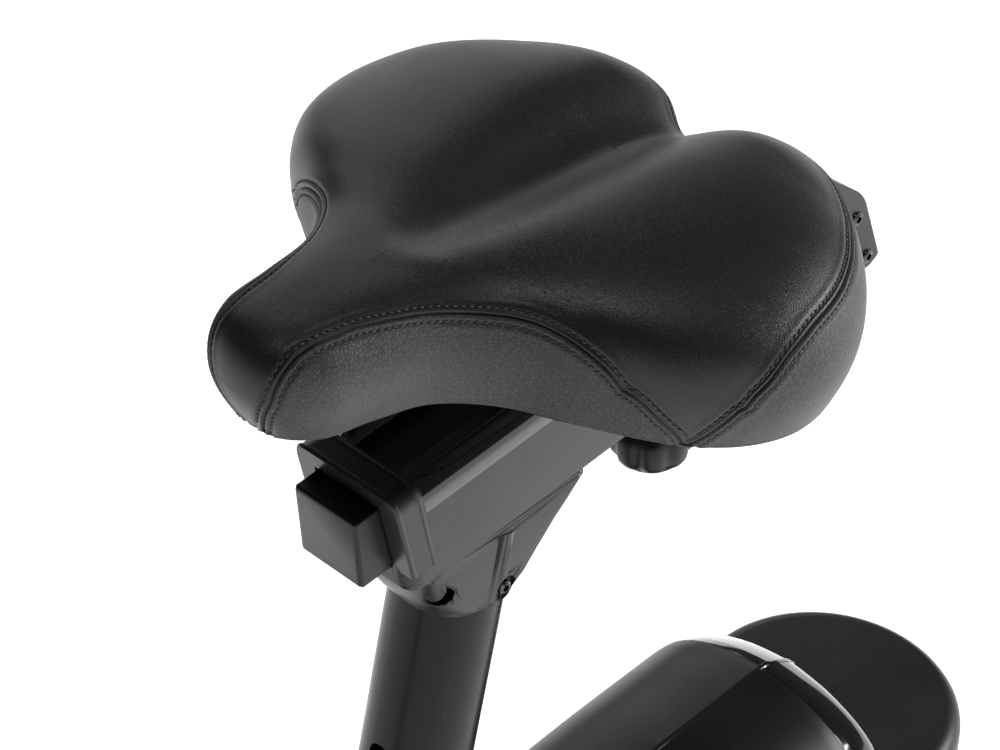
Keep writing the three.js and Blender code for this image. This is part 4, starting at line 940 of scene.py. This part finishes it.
def build_head():
    section = [(0, -32), (22, -32), (25.6, -31), (HEAD_HALF, -27.5), (HEAD_HALF, 9.6), (26.6, 13.5),
               (25.4, 17.6), (23.4, 21.2), (21.2, 23.4), (19.8, 24.0), (19.3, 24.8), (18.7, 25), (0, 25)]
    section += [(-x, z) for x, z in section[-2:0:-1]]
    rings = []
    for y, inset in ((17, 7.5), (17.4, 5.6), (18.6, 3.6), (20.4, 2.0), (23, 0.7), (26, 0), (200, 0),
                     (203.5, 0.6), (205, 2.4)):
        rings.append([on_rail(x * (HEAD_HALF - inset) / HEAD_HALF, y,
                              z + inset * (0.8 if z < 0 else -0.9 if z > 20 else 0))
                      for x, z in section])
    head = mesh_object("post_head", skin(rings))
    neck = []
    for z, y0, y1, w, r in ((-63, 42, 94, 26.4, 24), (-58, 39, 98, 27, 21), (-50, 35, 104, 27, 18),
                            (-40, 32, 112, 27, 14), (-33, 31, 118, 27, 10), (-26, 29, 126, 26.5, 8),
                            (-18, 29, 126, 24, 8)):
        neck.append([RAIL_FRONT + Vector((p[0], (y0 + y1) / 2 + p[1], z)) for p in rounded(w * 2, y1 - y0,
                                                                                           r, 8)])
    collar = turned([(0, -66), (26.5, -66), (27.2, -65.4), (27.5, -64.2), (27.5, -30), (0, -30)],
                    POST_ORIGIN, POST_AXIS, 96)
    combine(head, [skin(neck), collar], "UNION")
    channel = rail_bar(square(RAIL_HALF + 0.7, 2.0), -10, 240)
    slot = block((-14, -10, 5), (14, 240, 40), on_rail)
    bore = plug(POST_R + 0.25, -100, -45.7, POST_ORIGIN, POST_AXIS, 96)
    knob = plug(5.8, -50, -10, on_rail(0, KNOB_Y, 0), RAIL_UP, 40)
    cuts = [channel, slot, bore, knob]
    for s in (1, -1):
        place = RAIL_FRONT + Vector((15.9 * s, 49.7, -42.5))
        outward = (Vector((0.52 * s, -0.85, 0.05))).normalized()
        cuts.append(turned([(0, -5), (5.2, -5), (5.6, 0), (6.6, 14), (0, 14)], place, outward, 32))
        place = RAIL_FRONT + Vector((27 * s, 74.3, -59.3))
        cuts.append(turned([(0, -2.4), (5.6, -2.4), (6.2, 0.2), (6.8, 9), (0, 9)], place, X_AXIS * s, 40))
    combine(head, cuts)
    finish(head, [HEAD_PAINT, POLISHED], "seat_post", ["seat_head"], 0.45, 30, 2)
    gloss_from = (on_rail(0, 0, 9.5) * MM).dot(RAIL_UP)
    for face in head.data.polygons:
        if face.center.dot(RAIL_UP) > gloss_from and abs(face.center.x) > 13.9 * MM:
            face.material_index = 1
    places = [(RAIL_FRONT + Vector((25.0 * s, 74.3, -59.3)), X_AXIS * s) for s in (1, -1)]
    screws("head_screws", places, SCREW_STEEL, "seat_post", 3.5)


def build_clip():
    """The folded plate over the head's front end."""
    rings = []
    for y, lift in ((12, -0.4), (12.4, 0), (12.8, 0.35), (13.5, 0.5), (14.2, 0.35), (14.6, 0), (15.98, 0),
                    (16, 0), (23.4, 0), (23.8, 0.35), (24.5, 0.5), (25.2, 0.35), (25.6, 0), (26.6, 0),
                    (27, -0.4)):
        outer = eased([(-28.9, -18), (-28.9, 27.0), (28.9, 27.0), (28.9, -18)], 8, 6, False)
        outer = [((abs(p[0]) + lift) * (1 if p[0] > 0 else -1),
                  p[1] + (lift if p[1] > 10 else 0)) for p in outer]
        half, top, corner = (18.7, 18.9, 1.5) if y < 16 else (27.4, 25.5, 6.5)
        inner = eased([(half, -18), (half, top), (-half, top), (-half, -18)], corner, 6, False)
        rings.append([on_rail(x, y + (22 - z) * 0.14, z) for x, z in [*outer, *inner]])
    make("guide_clip_plate", skin(rings), HEAD_PAINT, "seat_post", ["guide_clip"], 0.3, 40, 2)


def build_post():
    post = mesh_object("seat_post_tube", turned(pipe(POST_R, POST_R - 2, -430, -46), POST_ORIGIN, POST_AXIS,
                                                96))
    combine(post, [plug(6.2, 12, 40, on_post(-152 - 25 * i), POST_FRONT, 32)
                   for i in range(9)])
    finish(post, POST_PAINT, "seat_post", ["seat_post"], 0.5, 40, 2)


build_saddle_base()
build_rail()
build_head()
build_clip()
build_post()

KNOB_PROFILE = [(0, -88), (12, -88), (14, -87.2), (17.2, -84.2), (18.9, -81.4), (19.5, -78.5), (19.5, -71),
                (18.7, -68.3), (17, -66.2), (13, -64.4), (12.4, -63), (12.4, -51), (11.8, -49.6),
                (9.2, -33.5), (8.8, -33), (5.5, -33), (5.5, -18.3), (0, -18.3)]
make("rail_clamp_knob", turned(KNOB_PROFILE, on_rail(0, KNOB_Y, 0), RAIL_UP, 144, ribs=8, depth=1.6,
                               reach=16),
     MOULDED, "rail_knob", ["rail_knob"], angle=32)

# ---- housing -----------------------------------------------------------------------------------------
HOUSING_OUTLINE = [(-184, 330), (-166, 396), (-118, 446), (-40, 478), (40, 496), (120, 510), (190, 520),
                   (260, 523), (333, 523), (346, 517), (358, 509), (363.5, 500), (365.5, 456), (410, 456),
                   (448, 455), (462, 448), (469, 430), (470, 360), (461, 290), (438, 220), (400, 166),
                   (350, 134), (280, 122), (100, 122), (-60, 126), (-120, 156), (-162, 220), (-181, 280)]
HALF_SECTIONS = [(0, 1, 1, 1), (20, 1, .985, 1), (40, .995, .955, .995), (55, .99, .91, .985),
                 (66, .975, .85, .97), (73, .945, .77, .945), (75, .92, .71, .92)]
HOUSING_HALF, HOUSING_TOP = 75, 523
HOUSING_MIDDLE = Vector((160, 320))
TRIM_FROM, TRIM_TO = 333, 366
WALL = 3.0
BRACE_LOW, BRACE_HIGH = Vector((0, -56, 334)), Vector((0, -412, 512))
TAIL_SIDE = [(300, 110), (350, 134), (400, 166), (438, 220), (461, 290), (468, 360), (470, 600), (300, 600)]


def housing_solid(side, inward=0.0):
    """Half of the housing, closed at the middle, as a lofted arch."""
    outline = eased(HOUSING_OUTLINE, 16, 3)
    columns = [np.array(c, float) for c in zip(*HALF_SECTIONS)]
    places = [0.15, 1.2, 1.7, 8, 16, 24, 32, 40, 47, 53, 58, 62, 65.5, 68.5, 71, 72.8, 74, 74.7, 75]
    middle_y, middle_z = HOUSING_MIDDLE
    rings = []
    for x in places:
        along, above, below = (through(columns[0], c, np.array([x]))[0] for c in columns[1:])
        bead = 0.5 if x < 1.5 and not inward else 0.0
        ring = []
        for y, z in outline:
            p = Vector((middle_y + (y - middle_y) * along,
                        middle_z + (z - middle_z) * (above if z > middle_z else below)))
            p += (p - HOUSING_MIDDLE).normalized() * (bead - inward)
            out = x if x < 1 and not inward else min(x, HOUSING_HALF - inward) if x > 1 else -2
            ring.append((side * out, p.x, min(p.y, HOUSING_TOP)))
        rings.append(ring)
    return skin(rings)


def beam_room():
    return block((-46, -150, 90), (46, 420, 150))


def housing_holes():
    """What passes through the housing: the beam, crank, seat tube and brace."""
    brace = BRACE_HIGH - BRACE_LOW
    return [beam_room(),
            plug(24, -120, 120, CRANK_PLACE, X_AXIS), plug(32, -560, -200, POST_ORIGIN, POST_AXIS, 72),
            plug(28, 0, brace.length, BRACE_LOW, brace)]


def tail_solid(side, inward=0.0):
    start, ring_set = 366.3 if not inward else 340, []
    for z, inset in ((90, 0), (446, 0), (449.8, .76), (453, 2.9), (455.2, 6.2), (456, 10)):
        half, reach = HOUSING_HALF - inset - inward, 74 - inset - inward
        ring = [(0.15 if not inward else -2, start), (half, start), (half, 380)]
        ring += [(half * math.cos(t), 392 + reach * math.sin(t)) for t in np.linspace(0, math.pi / 2,
                                                                                      24)[:-1]]
        ring += [(0.15 if not inward else -2, 392 + reach)]
        ring_set.append([(side * x, y, z - inward * (z > 100)) for x, y in ring])
    return skin(ring_set)


def build_housing():
    for name, s in SIDES:
        shell = mesh_object(f"housing_shell_{name}", housing_solid(s))
        combine(shell, [housing_solid(s, WALL), *housing_holes(),
                        block((-120, TRIM_FROM - 0.3, 0), (120, 600, 700))])
        finish(shell, SHELL, "frame", [f"housing_{name}"], 0.5, 32, 2)
        trim = mesh_object(f"trim_part_{name}", housing_solid(s))
        combine(trim, [housing_solid(s, WALL), *housing_holes()])
        combine(trim, [block((-120, TRIM_FROM, 0), (120, TRIM_TO, 700))], "INTERSECT")
        finish(trim, POLISHED, "frame", bevel=0.9, angle=32, segments=3)
        if s > 0:
            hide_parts("housing_trim")
        tail = mesh_object(f"tail_shell_{name}", tail_solid(s))
        side_shape = eased(TAIL_SIDE, 20, 4)
        combine(tail, [slab(side_shape, -90, 90)], "INTERSECT")
        inner = mesh_object("inner", tail_solid(s, WALL))
        combine(inner, [slab([(y - WALL, z + WALL * (z < 300)) for y, z in side_shape], -90, 90)],
                "INTERSECT")
        combine(tail, [inner, beam_room()])
        finish(tail, TAIL_SHELL, "frame", [f"tail_cover_{name}"], 0.7, 32, 3)


build_housing()

# ---- everything else, refined from the frame's own shapes ---------------------------------------------
INSIDE = ("drive_belt", "flywheel_bearing", "crank_bearing", "brake_carrier", "flywheel_plate",
          "flywheel_shaft",
          "drive_pulley", "bottom_bracket", "seat_tube_sleeve")
FINISHES = [(("flywheel_bearing", "crank_bearing", "flywheel_shaft", "brake_carrier"), STEEL, "bare_steel",
             0.3),
            (("flywheel_plate", "bottom_bracket"), PAINT, "frame_paint", 0.5),
            (("flywheel",), IRON, "flywheel_iron", 0.8), (("drive_belt",), RUBBER, "rubber", 0.3),
            (("transport_wheel",), RUBBER, "rubber", 0.8),
            (("crank_axle", "pedal_spindle", "height_pin_stem"), STEEL, "bare_steel", 0.4),
            (("crank_arm",), POLISHED_STEEL, "crank_steel", 1.2),
            (("drive_pulley", "seat_tube_sleeve"), MOULDED, "cap_plastic", 0.4),
            (("pedal_strap",), RUBBER, "strap_rubber", 0.5), (("pedal",), MOULDED, "pedal_plastic", 0.8),
            (("grip",), FOAM, "grip_foam", 1.2), (("console_window",), WINDOW, "display", 0.2),
            (("console",), CONSOLE, "console_plastic", 1.0), (("mode_button",), BUTTON_RED, "button", 0.6),
            (("resistance_knob", "height_pin"), MOULDED, "knob_plastic", 0.8),
            (("front_end_cap", "rear_end_cap"), MOULDED, "cap_plastic", 1.0),
            (("front_stabiliser", "rear_stabiliser"), PAINT, "stabiliser_paint", 0.3),
            (("",), PAINT, "frame_paint", 0.4)]
WELD_GAP = 1e-5
body_names = {obj.name: name for name, obj in frame["bodies"].items()}
for node_name, node in sorted(frame["nodes"].items()):
    if node.hide_render:
        continue
    material, slot, bevel = next(f[1:] for f in FINISHES if node_name.startswith(f[0]))
    if node_name.startswith(INSIDE):
        node.data.materials.clear()
        node.data.materials.append(material)
        node.modifiers.new("weld", "WELD").merge_threshold = WELD_GAP
        edges = node.modifiers.new("edge_round", "BEVEL")
        edges.width, edges.segments, edges.limit_method, edges.angle_limit = bevel * MM, 2, "ANGLE", 40 * DEG
        continue
    piece = placed(f"{node_name}_surface", welded(node.data.copy(), WELD_GAP, 0.6 * DEG))
    finish(piece, material, body_names[node.parent.name], [node_name], bevel, 33, 3)
